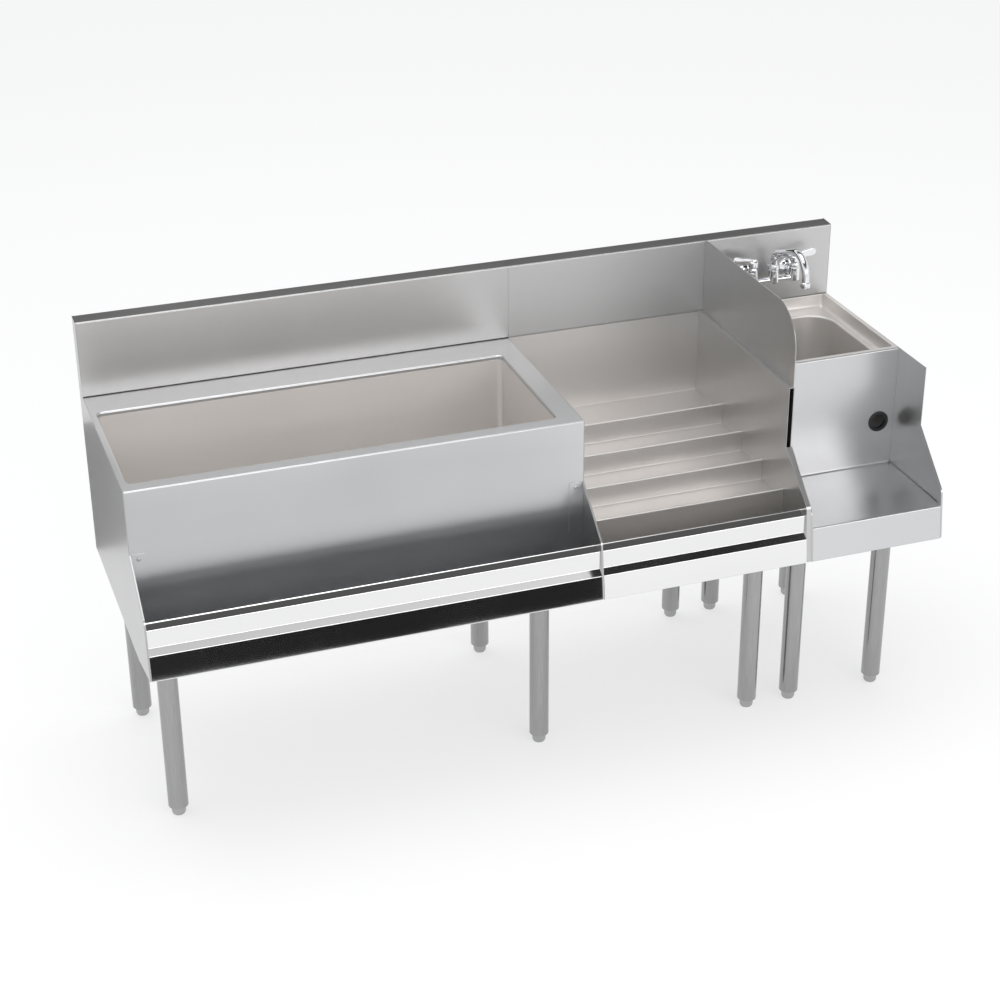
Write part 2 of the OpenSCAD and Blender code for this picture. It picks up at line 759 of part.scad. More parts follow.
valve_r = 12;
valve_low = faucet_z - 16;
valve_top = faucet_z + 15;
boss_r = 12;
bridge_r = 6.5;
spigot_r = spout_r + 1.5;
spigot_low = faucet_z + 2;
shank_end = y_wall - 2;
shank_nut_h = 9;
// Behind its nut a shank goes on as a thinner inlet
inlet_r = shank_r - 0.8;
inlet_y = y_splash + sheet + shank_nut_h + thread_out;

module faucet_body() {
    color("silver") difference() {
        union() {
            translate([faucet_x - faucet_centres / 2, faucet_y, valve_low + bridge_r + 0.5])
                rotate([0, 90, 0]) cylinder(h = faucet_centres, r = bridge_r);
            for (side = [-1, 1])
                translate([faucet_x + side * faucet_centres / 2, faucet_y, valve_low]) {
                    cylinder(h = valve_top - valve_low, r = valve_r);
                    translate([0, 0, -2]) cylinder(h = 2, r1 = valve_r - 3, r2 = valve_r);
                    translate([0, 0, faucet_z - valve_low]) rotate([-90, 0, 0]) {
                        cylinder(h = inlet_y - faucet_y, r = shank_r);
                        cylinder(h = shank_end - faucet_y, r = inlet_r);
                    }
                }
            translate([faucet_x, faucet_y, valve_low]) {
                cylinder(h = valve_top - valve_low, r = boss_r);
                translate([0, 0, -2]) cylinder(h = 2, r1 = boss_r - 3, r2 = boss_r);
            }
        }
        translate([faucet_x, faucet_y, spigot_low])
            cylinder(h = valve_top - spigot_low + cut, r = spigot_r + run_fit);
        for (side = [-1, 1])
            translate([faucet_x + side * faucet_centres / 2, y_splash, faucet_z])
                rotate([-90, 0, 0]) cylinder(h = splash_t, r = inlet_r - 2.7);
    }
}

wall_flange_r = 26;
wall_flange_h = 8;

module faucet_wall_flanges() {
    profile = [
        [shank_r + seat_gap, 0], [wall_flange_r, 0], [wall_flange_r, wall_flange_h / 4],
        [wall_flange_r - 2, wall_flange_h / 2], [shank_r + 4, wall_flange_h],
        [shank_r + seat_gap, wall_flange_h]
    ];
    color("silver") for (side = [-1, 1])
        translate([faucet_x + side * faucet_centres / 2, y_splash, faucet_z])
            rotate([90, 0, 0]) rotate_extrude() polygon(profile);
}

module faucet_shank_nuts() {
    color("goldenrod") for (side = [-1, 1])
        translate([faucet_x + side * faucet_centres / 2, y_splash + sheet, faucet_z])
            rotate([-90, 0, 0]) difference() {
                cylinder(h = shank_nut_h, r = shank_r + 7, $fn = 6);
                translate([0, 0, -cut]) cylinder(h = shank_nut_h + 2 * cut, r = shank_r + run_fit);
            }
}

bonnet_h = 11;
stem_top = valve_top + bonnet_h + 10;
valve_stem_r = 4.5;

module valve_bonnets() {
    color("silver") for (side = [-1, 1])
        translate([faucet_x + side * faucet_centres / 2, faucet_y, valve_top]) {
            cylinder(h = 5, r = valve_r - 1);
            translate([0, 0, 5]) cylinder(h = bonnet_h - 5, r1 = valve_r - 2, r2 = valve_r - 4);
            cylinder(h = stem_top - valve_top, r = valve_stem_r);
        }
}

handle_low = valve_top + bonnet_h + seat_gap;
handle_h = 14;
hub_r = 11.5;
blade_t = 6;
blade_h = 18;
blade_rise = 18;

// A lever handle on its stem: a round hub with an upright blade along +X
module lever_handle() {
    tip = lever_len - blade_h / 2;
    difference() {
        union() {
            cylinder(h = handle_h - 2, r = hub_r);
            translate([0, 0, handle_h - 2]) cylinder(h = 2, r1 = hub_r, r2 = hub_r - 2);
            translate([0, blade_t / 2, 0]) rotate([90, 0, 0]) linear_extrude(blade_t) {
                polygon([
                    [1 - hub_r, 3], [tip, blade_rise - blade_h / 2],
                    [tip, blade_rise + blade_h / 2], [3 - hub_r, handle_h + 4]
                ]);
                translate([tip, blade_rise]) circle(blade_h / 2);
            }
        }
        translate([0, 0, -cut])
            cylinder(h = stem_top - handle_low + cut + seat_gap, r = valve_stem_r + run_fit);
    }
}

module handle_left() {
    color("silver") translate([faucet_x - faucet_centres / 2, faucet_y, handle_low])
        rotate([0, 0, 180]) lever_handle();
}

module handle_right() {
    color("silver") translate([faucet_x + faucet_centres / 2, faucet_y, handle_low])
        lever_handle();
}

// The spout lies in the plane of its swivel axis: up, a bend, a rising run, and a
// bend down to the outlet. Points are [forward, up] from the axis at bend_h
bend_h = valve_top + 19;
outlet_len = 18;
run_start = [spout_bend_r * (1 - sin(spout_rise)), spout_bend_r * cos(spout_rise)];
run_end_f = spout_reach - spout_end_r * (1 + sin(spout_rise));
run_len = (run_end_f - run_start[0]) / cos(spout_rise);
run_end = [run_end_f, run_start[1] + run_len * sin(spout_rise)];
end_centre = run_end + spout_end_r * [sin(spout_rise), -cos(spout_rise)];

// forward and up become -Y and +Z about the swivel axis
module on_spout(p) {
    translate([faucet_x, faucet_y - p[0], bend_h + p[1]]) children();
}

// The bends are drawn a little thinner than the straight runs, which reach into them
draw = 0.1;
overlap = 0.5;

module spout_bend(at, radius, start, sweep) {
    on_spout(at) rotate([90, 0, 90]) rotate([0, 0, start])
        rotate_extrude(angle = sweep, $fn = 64) translate([radius, 0]) circle(spout_r - draw);
}

module spout_solid() {
    translate([faucet_x, faucet_y, spigot_low + 1])
        cylinder(h = bend_h - spigot_low - 1 + overlap, r = spout_r);
    spout_bend([spout_bend_r, 0], spout_bend_r, 0, 90 - spout_rise);
    on_spout(run_start) rotate([90 - spout_rise, 0, 0]) translate([0, 0, -overlap])
        cylinder(h = run_len + 2 * overlap, r = spout_r);
    spout_bend(end_centre, spout_end_r, 90 - spout_rise, 90 + spout_rise);
    on_spout([spout_reach, end_centre[1] - outlet_len])
        cylinder(h = outlet_len + overlap, r = spout_r);
}

module spout() {
    color("silver") difference() {
        union() {
            spout_solid();
            translate([faucet_x, faucet_y, spigot_low + 1])
                cylinder(h = valve_top - spigot_low - 1, r = spigot_r);
        }
        translate([faucet_x, faucet_y, spigot_low]) cylinder(h = 14, r = spout_r - 1.5);
        on_spout([spout_reach, end_centre[1] - outlet_len - cut])
            cylinder(h = outlet_len + cut, r = spout_r - 1.2);
    }
}

module spout_nut() {
    color("silver") translate([faucet_x, faucet_y, valve_top]) difference() {
        union() {
            cylinder(h = 8, r = boss_r + 1, $fn = 6);
            translate([0, 0, 8]) cylinder(h = 3, r1 = boss_r - 2, r2 = boss_r - 4);
        }
        translate([0, 0, -cut]) cylinder(h = 20, r = spout_r + seat_gap);
    }
}

module aerator() {
    color("silver") on_spout([spout_reach, end_centre[1] - outlet_len]) difference() {
        union() {
            translate([0, 0, -3]) cylinder(h = 3, r1 = spout_r + 1.2, r2 = spout_r + 2.6);
            cylinder(h = 9, r = spout_r + 2.6);
            translate([0, 0, 9]) cylinder(h = 2, r1 = spout_r + 2.6, r2 = spout_r + 1);
        }
        cylinder(h = 20, r = spout_r + run_fit);
        translate([0, 0, -3 - cut]) cylinder(h = 2 + cut, r = spout_r - 1);
    }
}

// ---------------------------------------------------------------- legs and feet

leg_x = [
    x_left + leg_in_left, x_seam_bin - leg_in_bin,
    x_seam_sink - leg_in_display, x_seam_sink + leg_in_sink, x_right - leg_in_right
];
function leg_front_y(i) = y_body + (i < 2 ? leg_back_bin : leg_back_front);
leg_rear_y = y_splash - leg_back_rear;

// The ten leg places, front and rear at each of the five stations
leg_places = [for (i = [0:4], y = [leg_front_y(i), leg_rear_y]) [leg_x[i], y]];

channel_w = 52;
channel_t = 2;
socket_r = leg_r + seat_gap + 3;
socket_h = 45;
socket_plate = 4;
leg_top = underside_h - socket_plate;

// Open channels from front to back over each leg pair, and one across under the shelf
module leg_channels() {
    high = foam_floor_h;
    front = y_body + sheet;
    color("darkgray") difference() {
        union() {
            for (x = leg_x)
                block([x - channel_w / 2, front, underside_h],
                    [x + channel_w / 2, y_wall - sheet, high]);
            block([x_seam_sink + sheet + hem_t, front, underside_h],
                [x_right - sheet - hem_t, front + channel_w, high]);
        }
        for (x = leg_x)
            block([x - channel_w / 2 + channel_t, y_body, underside_h + channel_t],
                [x + channel_w / 2 - channel_t, y_wall, high + cut]);
        block([x_seam_sink, front + channel_t, underside_h + channel_t],
            [x_right, front + channel_w - channel_t, high + cut]);
    }
}

module leg_sockets() {
    color("gray") for (p = leg_places) translate([p[0], p[1], underside_h]) difference() {
        union() {
            translate([0, 0, -socket_plate]) cylinder(h = socket_plate, r = socket_r + 2);
            translate([0, 0, -socket_h]) cylinder(h = socket_h, r = socket_r);
        }
        translate([0, 0, -socket_h - cut])
            cylinder(h = socket_h + cut - socket_plate, r = leg_r + seat_gap);
    }
}

module leg_tube(p) {
    translate([p[0], p[1], foot_h]) difference() {
        cylinder(h = leg_top - foot_h, r = leg_r);
        translate([0, 0, -cut]) cylinder(h = leg_top - foot_h + 2 * cut, r = leg_r - leg_wall);
    }
}

module legs_bin() {
    color("lightgray") for (i = [0:3]) leg_tube(leg_places[i]);
}

module legs_display() {
    color("lightgray") for (i = [4:5]) leg_tube(leg_places[i]);
}

module legs_sink() {
    color("lightgray") for (i = [6:9]) leg_tube(leg_places[i]);
}

insert_h = stem_len + 12;

module leg_inserts() {
    color("dimgray") for (p = leg_places) translate([p[0], p[1], foot_h]) difference() {
        cylinder(h = insert_h, r = leg_r - leg_wall);
        translate([0, 0, -cut]) cylinder(h = stem_len + cut + seat_gap, r = stem_r + run_fit);
    }
}

module foot(i) {
    profile = [
        [0, 0], [foot_r - 4, 0], [foot_r - 1.5, 2], [foot_r, foot_h * 0.35],
        [foot_r, foot_h - 3], [foot_r - 2, foot_h - seat_gap], [stem_r, foot_h - seat_gap],
        [stem_r, foot_h + stem_len - 1], [stem_r - 1, foot_h + stem_len], [0, foot_h + stem_len]
    ];
    p = leg_places[i - 1];
    color("dimgray") translate([p[0], p[1], 0]) rotate_extrude() polygon(profile);
}

// ---------------------------------------------------------------- drawing

splash_bin();
splash_display();
splash_sink();
splash_end_caps();
end_panel_left();
bin_side_panel();
display_side_panel();
sink_side_panel();
end_panel_right();
bin_top_frame();
bin_liner();
bin_insulation();
bin_front_panel();
bin_bottom_panel();
bin_drain_fitting();
bin_drain_locknut();
bin_strainer_plate();
bin_rail();
display_rail();
rail_brackets();
rail_screws();
display_back();
display_tiers();
side_guard();
sink_deck();
sink_bowl();
sink_front_panel();
blender_shelf();
cord_grommet();
sink_back_panel();
sink_drain_flange();
sink_drain_locknut();
sink_tailpiece();
basket_strainer();
faucet_body();
faucet_wall_flanges();
faucet_shank_nuts();
valve_bonnets();
handle_left();
handle_right();
spout();
spout_nut();
aerator();
leg_channels();
leg_sockets();
legs_bin();
legs_display();
legs_sink();
leg_inserts();
foot(1);  // foot_1
foot(2);  // foot_2
foot(3);  // foot_3
foot(4);  // foot_4
foot(5);  // foot_5
foot(6);  // foot_6
foot(7);  // foot_7
foot(8);  // foot_8
foot(9);  // foot_9
foot(10);  // foot_10
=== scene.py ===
# %% [markdown]
# An underbar work station in folded stainless sheet: an insulated ice bin, a tiered
# bottle display and a narrow blender station with a small sink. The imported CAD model
# is the frame. It gives every size and carries the joints. This script gives it its
# looks: every visible sheet is folded again with real bend radii, the tubs are drawn,
# the faucet is turned and cast, and each surface gets its finish.

# %% Load the frame
import math
import bmesh
import bpy
from mathutils import Matrix, Vector


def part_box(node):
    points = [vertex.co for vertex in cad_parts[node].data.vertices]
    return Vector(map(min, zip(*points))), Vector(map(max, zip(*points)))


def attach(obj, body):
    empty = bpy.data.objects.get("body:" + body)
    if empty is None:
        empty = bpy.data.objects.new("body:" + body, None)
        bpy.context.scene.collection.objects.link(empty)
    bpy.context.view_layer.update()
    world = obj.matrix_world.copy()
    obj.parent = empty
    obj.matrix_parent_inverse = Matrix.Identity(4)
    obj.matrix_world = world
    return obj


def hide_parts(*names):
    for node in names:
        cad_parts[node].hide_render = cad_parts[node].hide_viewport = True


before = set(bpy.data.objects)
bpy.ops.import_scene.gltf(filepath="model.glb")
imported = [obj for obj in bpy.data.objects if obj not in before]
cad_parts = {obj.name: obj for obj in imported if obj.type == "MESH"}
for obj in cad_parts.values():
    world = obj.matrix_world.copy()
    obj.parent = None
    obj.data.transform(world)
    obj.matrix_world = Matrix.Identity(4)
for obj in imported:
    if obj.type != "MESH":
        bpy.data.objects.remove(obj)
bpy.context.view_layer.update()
MM = 0.001

# %% [markdown]
# The camera stands where the photographer stood: well back, a little to the left, and
# above the rim, so that the tubs' floors show. A long lens keeps the far legs nearly as
# tall as the near ones. Three turns set it: the tilt down, the swing to the right, and
# a very small roll.

# %% Camera
CAMERA_PLACE = Vector((-1.3105, -3.6669, 2.5047))
SWING = 0.334
TILT_DOWN = 0.473
ROLL = -0.007
SENSOR = 36
LENS = 75.41

photo_camera = bpy.data.cameras.new("photo_camera")
photo_camera.sensor_width = SENSOR
photo_camera.lens = LENS
camera = bpy.data.objects.new("photo_camera", photo_camera)
bpy.context.scene.collection.objects.link(camera)
camera.matrix_world = (
    Matrix.Translation(CAMERA_PLACE)
    @ Matrix.Rotation(-SWING, 4, "Z")
    @ Matrix.Rotation(math.pi / 2 - TILT_DOWN, 4, "X")
    @ Matrix.Rotation(ROLL, 4, "Z")
)
bpy.context.scene.camera = camera
print("camera looks along", [round(v, 3) for v in -camera.matrix_world.col[2].xyz])

# %% [markdown]
# Shader maths reads best as plain expressions. This small class wraps one socket. The
# signs + - and * on it add Math nodes, and node() adds any other node from its type,
# its settings and its inputs.

# %% A socket that does arithmetic
class Wire:
    def __init__(self, tree, socket):
        self.tree = tree
        self.socket = socket

    def node(self, kind, settings=None, **inputs):
        return node(self.tree, kind, settings, **inputs)

    def maths(self, operation, first, second):
        return self.node("ShaderNodeMath", {"operation": operation}, i0=first, i1=second)

    def __add__(self, other):
        return self.maths("ADD", self, other)

    def __sub__(self, other):
        return self.maths("SUBTRACT", self, other)

    def __mul__(self, other):
        return self.maths("MULTIPLY", self, other)

    __radd__ = __add__
    __rmul__ = __mul__

    def limit(self, low, high):
        return self.maths("MAXIMUM", self.maths("MINIMUM", self, high), low)


def put(tree, socket, value):
    if isinstance(value, Wire):
        tree.links.new(value.socket, socket)
    else:
        socket.default_value = value


def node(tree, kind, settings=None, **inputs):
    made = tree.nodes.new(kind)
    for name, value in (settings or {}).items():
        if name == "stops":
            ramp_stops(made.color_ramp, value)
        elif name != "output":
            setattr(made, name, value)
    for name, value in inputs.items():
        by_place = name[0] == "i" and name[1:].isdigit()
        socket = made.inputs[int(name[1:])] if by_place else made.inputs[name.replace("_", " ")]
        put(tree, socket, value)
    return Wire(tree, made.outputs[(settings or {}).get("output", 0)])


def ramp_stops(ramp, stops):
    while len(ramp.elements) < len(stops):
        ramp.elements.new(0.5)
    for element, (place, level) in zip(ramp.elements, stops):
        element.position = place
        element.color = (level, level, level, 1)


# %% [markdown]
# The studio is plain: a white floor, and a white room that shows in the metal too. Metal
# has no colour of its own, it shows the room, so the walls are lit and the ceiling is not,
# apart from its middle. That dark ring of ceiling is what lets the side guard and the
# inner walls of the tubs read grey.

# %% The room
# Level of the room in the metal by the sine of the height above the horizon
ROOM_STOPS = [(0.0, 1.0), (0.5, 1.0), (0.6, 0.45), (0.72, 0.1), (0.87, 0.1), (0.93, 1.0)]
ROOM_LIGHT = 0.8


def make_room():
    world = bpy.data.worlds.new("studio")
    bpy.context.scene.world = world
    world.use_nodes = True
    tree = world.node_tree
    tree.nodes.clear()
    direction = node(tree, "ShaderNodeTexCoord", {"output": "Generated"})
    height = node(tree, "ShaderNodeSeparateXYZ", {"output": "Z"}, Vector=direction)
    ceiling = node(tree, "ShaderNodeValToRGB", {"stops": ROOM_STOPS}, Fac=height)
    mirrored = node(tree, "ShaderNodeLightPath", {"output": "Is Glossy Ray"})
    seen = node(tree, "ShaderNodeLightPath", {"output": "Is Camera Ray"})
    plain = seen * (1 - ROOM_LIGHT) + ROOM_LIGHT
    walls = node(tree, "ShaderNodeCombineColor", Red=plain, Green=plain, Blue=plain)
    colour = node(tree, "ShaderNodeMix", {"data_type": "RGBA", "output": 2},
                  i0=mirrored, i6=walls, i7=ceiling)
    light = node(tree, "ShaderNodeBackground", Color=colour, Strength=1.0)
    out = tree.nodes.new("ShaderNodeOutputWorld")
    tree.links.new(light.socket, out.inputs["Surface"])


make_room()
print("room lights the object at", ROOM_LIGHT)

# %% [markdown]
# The floor is matt and takes the object's shadow. To the camera and in the metal it also
# glows a little, up to plain white and no further, so the background stays clean.

# %% The floor
FLOOR_SIZE = 30
FLOOR_TONE = (0.93, 0.937, 0.955, 1)
FLOOR_GLOW = 0.6


def matt(name, colour, glow=0.0):
    """A matt finish that may glow to the camera and in the metal."""
    material = bpy.data.materials.new(name)
    material.use_nodes = True
    tree = material.node_tree
    tree.nodes.clear()
    surface = node(tree, "ShaderNodeBsdfDiffuse", Color=colour)
    if glow:
        white = node(tree, "ShaderNodeEmission", Color=(1, 1, 1, 1), Strength=1.0)
        seen = node(tree, "ShaderNodeLightPath", {"output": "Is Camera Ray"})
        mirrored = node(tree, "ShaderNodeLightPath", {"output": "Is Glossy Ray"})
        share = (seen + mirrored) * glow
        surface = node(tree, "ShaderNodeMixShader", Fac=share, i1=surface, i2=white)
    out = tree.nodes.new("ShaderNodeOutputMaterial")
    tree.links.new(surface.socket, out.inputs["Surface"])
    return material


def stage_piece(name, shape, finish):
    mesh = bpy.data.meshes.new(name)
    shape.to_mesh(mesh)
    shape.free()
    mesh.materials.append(finish)
    made = bpy.data.objects.new(name, mesh)
    bpy.context.scene.collection.objects.link(made)
    return made


ground = bmesh.new()
bmesh.ops.create_grid(ground, x_segments=1, y_segments=1, size=FLOOR_SIZE / 2)
stage_piece("floor", ground, matt("pale_floor", FLOOR_TONE, FLOOR_GLOW))
print("floor", FLOOR_SIZE, "m wide")

# %% [markdown]
# Two large soft lamps light it: one overhead and one far in front, a little warm.

# %% Soft lamps
LAMP_AIM = Vector((0, 0, 0.5))
TOP_LAMP = Vector((-0.6, 0.3, 4.5))
TOP_LAMP_SIDE = 4.0
TOP_LAMP_WATTS = 75
FRONT_LAMP = Vector((1.2, -5.8, 2.8))
FRONT_LAMP_WIDE = 7.0
FRONT_LAMP_HIGH = 1.7
FRONT_LAMP_WATTS = 120
WHITE = (1, 1, 1)
WARM_WHITE = (1, 0.96, 0.945)


def soft_lamp(name, place, wide, high, watts, colour):
    data = bpy.data.lights.new(name, "AREA")
    data.shape = "RECTANGLE"
    data.size = wide
    data.size_y = high
    data.energy = watts
    data.color = colour
    lamp = bpy.data.objects.new(name, data)
    bpy.context.scene.collection.objects.link(lamp)
    lamp.location = place
    lamp.rotation_euler = (LAMP_AIM - lamp.location).to_track_quat("-Z", "Y").to_euler()
    lamp.visible_camera = False
    return lamp


soft_lamp("top_lamp", TOP_LAMP, TOP_LAMP_SIDE, TOP_LAMP_SIDE, TOP_LAMP_WATTS, WHITE)
soft_lamp("front_lamp", FRONT_LAMP, FRONT_LAMP_WIDE, FRONT_LAMP_HIGH, FRONT_LAMP_WATTS, WARM_WHITE)
bpy.context.scene.view_settings.view_transform = "Standard"
print("lamps", TOP_LAMP_WATTS, "W and", FRONT_LAMP_WATTS, "W")

# %% [markdown]
# A photographer shapes bright metal with dark cards. Four matt boards stand around the
# station and are seen in the metal only. The one low in front blackens the lower band of
# the bin rail, the one high in front blackens the step of the display rail, the one
# behind darkens the top of the splash, and the one at the left shades the end panel.

# %% Boards seen in the metal
# Name: from x, to x, at y, from z, to z, tone
BOARDS = {
    "front_board": (-1.4, 0.45, -1.3, 0.09, 0.19, 0.02),
    "rear_board": (-1.2, 1.5, 0.345, 0.93, 1.0, 0.05),
    "high_board": (0.47, 1.2, -1.3, 1.12, 1.36, 0.03),
    "left_board": (-1.3, -0.85, 0.5, 0.29, 0.6, 0.42),
}


def board(name, x0, x1, y, z0, z1, tone):
    shape = bmesh.new()
    corners = [(x0, y, z0), (x1, y, z0), (x1, y, z1), (x0, y, z1)]
    shape.faces.new([shape.verts.new(corner) for corner in corners])
    made = stage_piece(name, shape, matt(name, (tone, tone, tone, 1)))
    made.visible_camera = False
    made.visible_diffuse = False
    made.visible_shadow = False


for name, place in BOARDS.items():
    board(name, *place)
print("boards", list(BOARDS))

# %% [markdown]
# Stainless sheet is ground along one direction, so its roughness and its tiny relief run
# in long streaks. One recipe makes the satin panels, the brighter rails, the drawn tubs
# and the polished tubes: only tone, roughness, grain direction and streak depth differ,
# and a trace of warm or cold colour.

# %% Ground stainless
STREAKS_PER_METRE = 900
STREAK_STRETCH = 40
BANDS_PER_METRE = 36
CLOUDS_PER_METRE = 3.0
GRAIN_AND_PAINTED_BAND_TONE = 0.6
CLOUD_TONE = 0.05
CLOUD_ROUGH = 0.08
SCRATCH_DEEP = 0.2 * MM


def new_finish(name, metallic):
    material = bpy.data.materials.new(name)
    material.use_nodes = True
    shader = material.node_tree.nodes["Principled BSDF"]
    shader.inputs["Metallic"].default_value = metallic
    place = node(material.node_tree, "ShaderNodeTexCoord", {"output": "Object"})
    return material, material.node_tree, shader, place


def along_grain(tree, place, grain, frequency):
    across = [frequency] * 3
    across["XYZ".index(grain)] = frequency / STREAK_STRETCH
    return node(tree, "ShaderNodeMapping", Vector=place, Scale=across)


def steel(name, tone, rough, grain="X", streak=0.08, relief=0.05, warm=0.0):
    material, tree, shader, place = new_finish(name, 1)
    ground = along_grain(tree, place, grain, STREAKS_PER_METRE)
    fine = node(tree, "ShaderNodeTexNoise", Vector=ground, Scale=1.0, Detail=3.0)
    banded = along_grain(tree, place, grain, BANDS_PER_METRE)
    bands = node(tree, "ShaderNodeTexNoise", Vector=banded, Scale=1.0, Detail=2.0)
    cloud = node(tree, "ShaderNodeTexNoise", Vector=place, Scale=CLOUDS_PER_METRE, Detail=2.0)
    # The streaks are ground grain. On the legs their deep setting also paints reflection bands into
    # the colour.
    grain_and_painted_bands = (fine - 0.5) * streak + (bands - 0.5) * streak
    level = grain_and_painted_bands * GRAIN_AND_PAINTED_BAND_TONE + (cloud - 0.5) * CLOUD_TONE + tone
    base = node(tree, "ShaderNodeCombineColor", Red=level * (1 + warm), Green=level,
                Blue=level * (1 - warm))
    put(tree, shader.inputs["Base Color"], base)
    dull = grain_and_painted_bands + (cloud - 0.5) * CLOUD_ROUGH + rough
    put(tree, shader.inputs["Roughness"], dull.limit(0.03, 0.9))
    bump = node(tree, "ShaderNodeBump", Height=fine, Strength=relief, Distance=SCRATCH_DEEP)
    put(tree, shader.inputs["Normal"], bump)
    return material


PANEL = steel("satin_panel", 0.63, 0.3, streak=0.03, relief=0.01, warm=-0.014)
SPLASH = steel("satin_splash", 0.56, 0.42, streak=0.03, relief=0.01)
UPRIGHT = steel("satin_side_panel", 0.54, 0.32, grain="Z", streak=0.04, relief=0.01)
RAIL = steel("bright_rail", 0.82, 0.045, streak=0.004, relief=0.0)
# The tubs' steel is toned well above the panels' steel. This is painted light: it stands in for the
# light from above that makes the tubs and the sink top read light.
TUB_PAINTED_LIGHT = steel("drawn_tub", 0.85, 0.5, streak=0.03, relief=0.02, warm=0.022)
TREAD = steel("satin_tread", 0.72, 0.4, streak=0.03, relief=0.01, warm=0.022)
HIDDEN = steel("mill_sheet", 0.5, 0.4)
# The legs' steel is toned far darker than the rest. This is painted shade for the shadowed floor
# that they mirror. Its deep streaks are partly ground grain and partly painted reflection bands.
LEG = steel("polished_tube_painted_shade", 0.36, 0.16, grain="Z", streak=0.25, relief=0.02)
FITTING = steel("plain_socket", 0.5, 0.3, grain="Z")
FOOT = steel("turned_foot", 0.42, 0.25, streak=0.1)
DRAIN = steel("polished_drain", 0.68, 0.14, streak=0.04)
print("steels", len(bpy.data.materials))

# %% [markdown]
# Chrome is a mirror with hardly any grain and brass is a warm metal. The ring of the
# cord hole is black rubber with a faint moulded texture, and the foam behind the bin's
# panels shows the grain of its small cells.

# %% Chrome, brass, rubber and foam
HAZE_PER_METRE = 35.0
GRAIN_DEEP = 0.3 * MM


def textured(name, metallic, colour, rough, cells, relief, contrast):
    material, tree, shader, place = new_finish(name, metallic)
    haze = node(tree, "ShaderNodeTexNoise", Vector=place, Scale=HAZE_PER_METRE, Detail=3.0)
    grain = node(tree, "ShaderNodeTexNoise", Vector=place, Scale=cells, Detail=3.0)
    tone = node(tree, "ShaderNodeVectorMath", {"operation": "SCALE"},
                i0=colour, Scale=haze * contrast + (1 - contrast / 2))
    put(tree, shader.inputs["Base Color"], tone)
    put(tree, shader.inputs["Roughness"], ((haze - 0.5) * contrast + rough).limit(0.02, 1.0))
    bump = node(tree, "ShaderNodeBump", Height=grain, Strength=relief, Distance=GRAIN_DEEP)
    put(tree, shader.inputs["Normal"], bump)
    return material


CHROME = textured("polished_chrome", 1, (0.8, 0.81, 0.83), 0.06, 400, 0.01, 0.05)
BRASS = textured("plain_brass", 1, (0.72, 0.56, 0.28), 0.28, 500, 0.1, 0.15)
RUBBER = textured("black_rubber", 0, (0.012, 0.012, 0.013), 0.45, 900, 0.2, 0.2)
FOAM = textured("rigid_foam", 0, (0.75, 0.68, 0.45), 0.9, 500, 0.6, 0.2)
print("finishes", len(bpy.data.materials))

# %% [markdown]
# The station's main lines come from the frame: the section joints across the width, the
# planes front to back, and the heights where the sheets turn.

# %% Main lines of the station
SHEET = 1.5 * MM
FOLD = 3 * MM
HEM = 14 * MM
HEM_THICK = 2.4 * MM
SEAM = 0.3 * MM
X_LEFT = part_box("end_panel_left")[0].x
X_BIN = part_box("bin_side_panel")[1].x
X_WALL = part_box("display_side_panel")[0].x
X_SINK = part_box("sink_side_panel")[0].x
X_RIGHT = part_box("end_panel_right")[1].x
Y_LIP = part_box("end_panel_left")[0].y
Y_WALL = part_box("end_panel_left")[1].y
Y_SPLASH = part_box("splash_bin")[0].y
Y_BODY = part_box("bin_front_panel")[0].y
Y_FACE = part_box("sink_front_panel")[0].y
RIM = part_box("bin_liner")[1].z + SHEET
SPLASH_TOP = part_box("splash_end_caps")[1].z
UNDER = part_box("end_panel_left")[0].z
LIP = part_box("bin_rail")[0].z
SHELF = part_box("blender_shelf")[1].z
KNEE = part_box("rail_brackets")[1].z
CUT_EDGE = 0.25 * MM
NOSE = 541 * MM
SINK_NOSE = 526 * MM
LEAN = math.radians(7)


def front_y(z):
    return Y_LIP + math.tan(LEAN) * (z - LIP)


print("sections end at", [round(x, 4) for x in (X_LEFT, X_BIN, X_SINK, X_RIGHT)])
print("heights", [round(z, 4) for z in (UNDER, LIP, SHELF, KNEE, RIM, SPLASH_TOP)])

# %% [markdown]
# Every finished piece goes through one door. Its doubled points are merged, its faces
# are turned outwards, it is smoothed up to a given angle and tied to the CAD body that
# it moves with. Three modifiers can follow: one gives a folded sheet its thickness, one
# rounds the cut edges a little, because a real edge always catches the light, and one
# lets the large faces set the shading, so that a flat sheet stays flat up to its fold.
# The sheet's back can have a finish of its own, as the brushed inside of a bright rail.

# %% Finish a piece
WELD = 0.001 * MM
NEAR = MM / 9
SMOOTH = 28
CUT_TURN = math.radians(50)


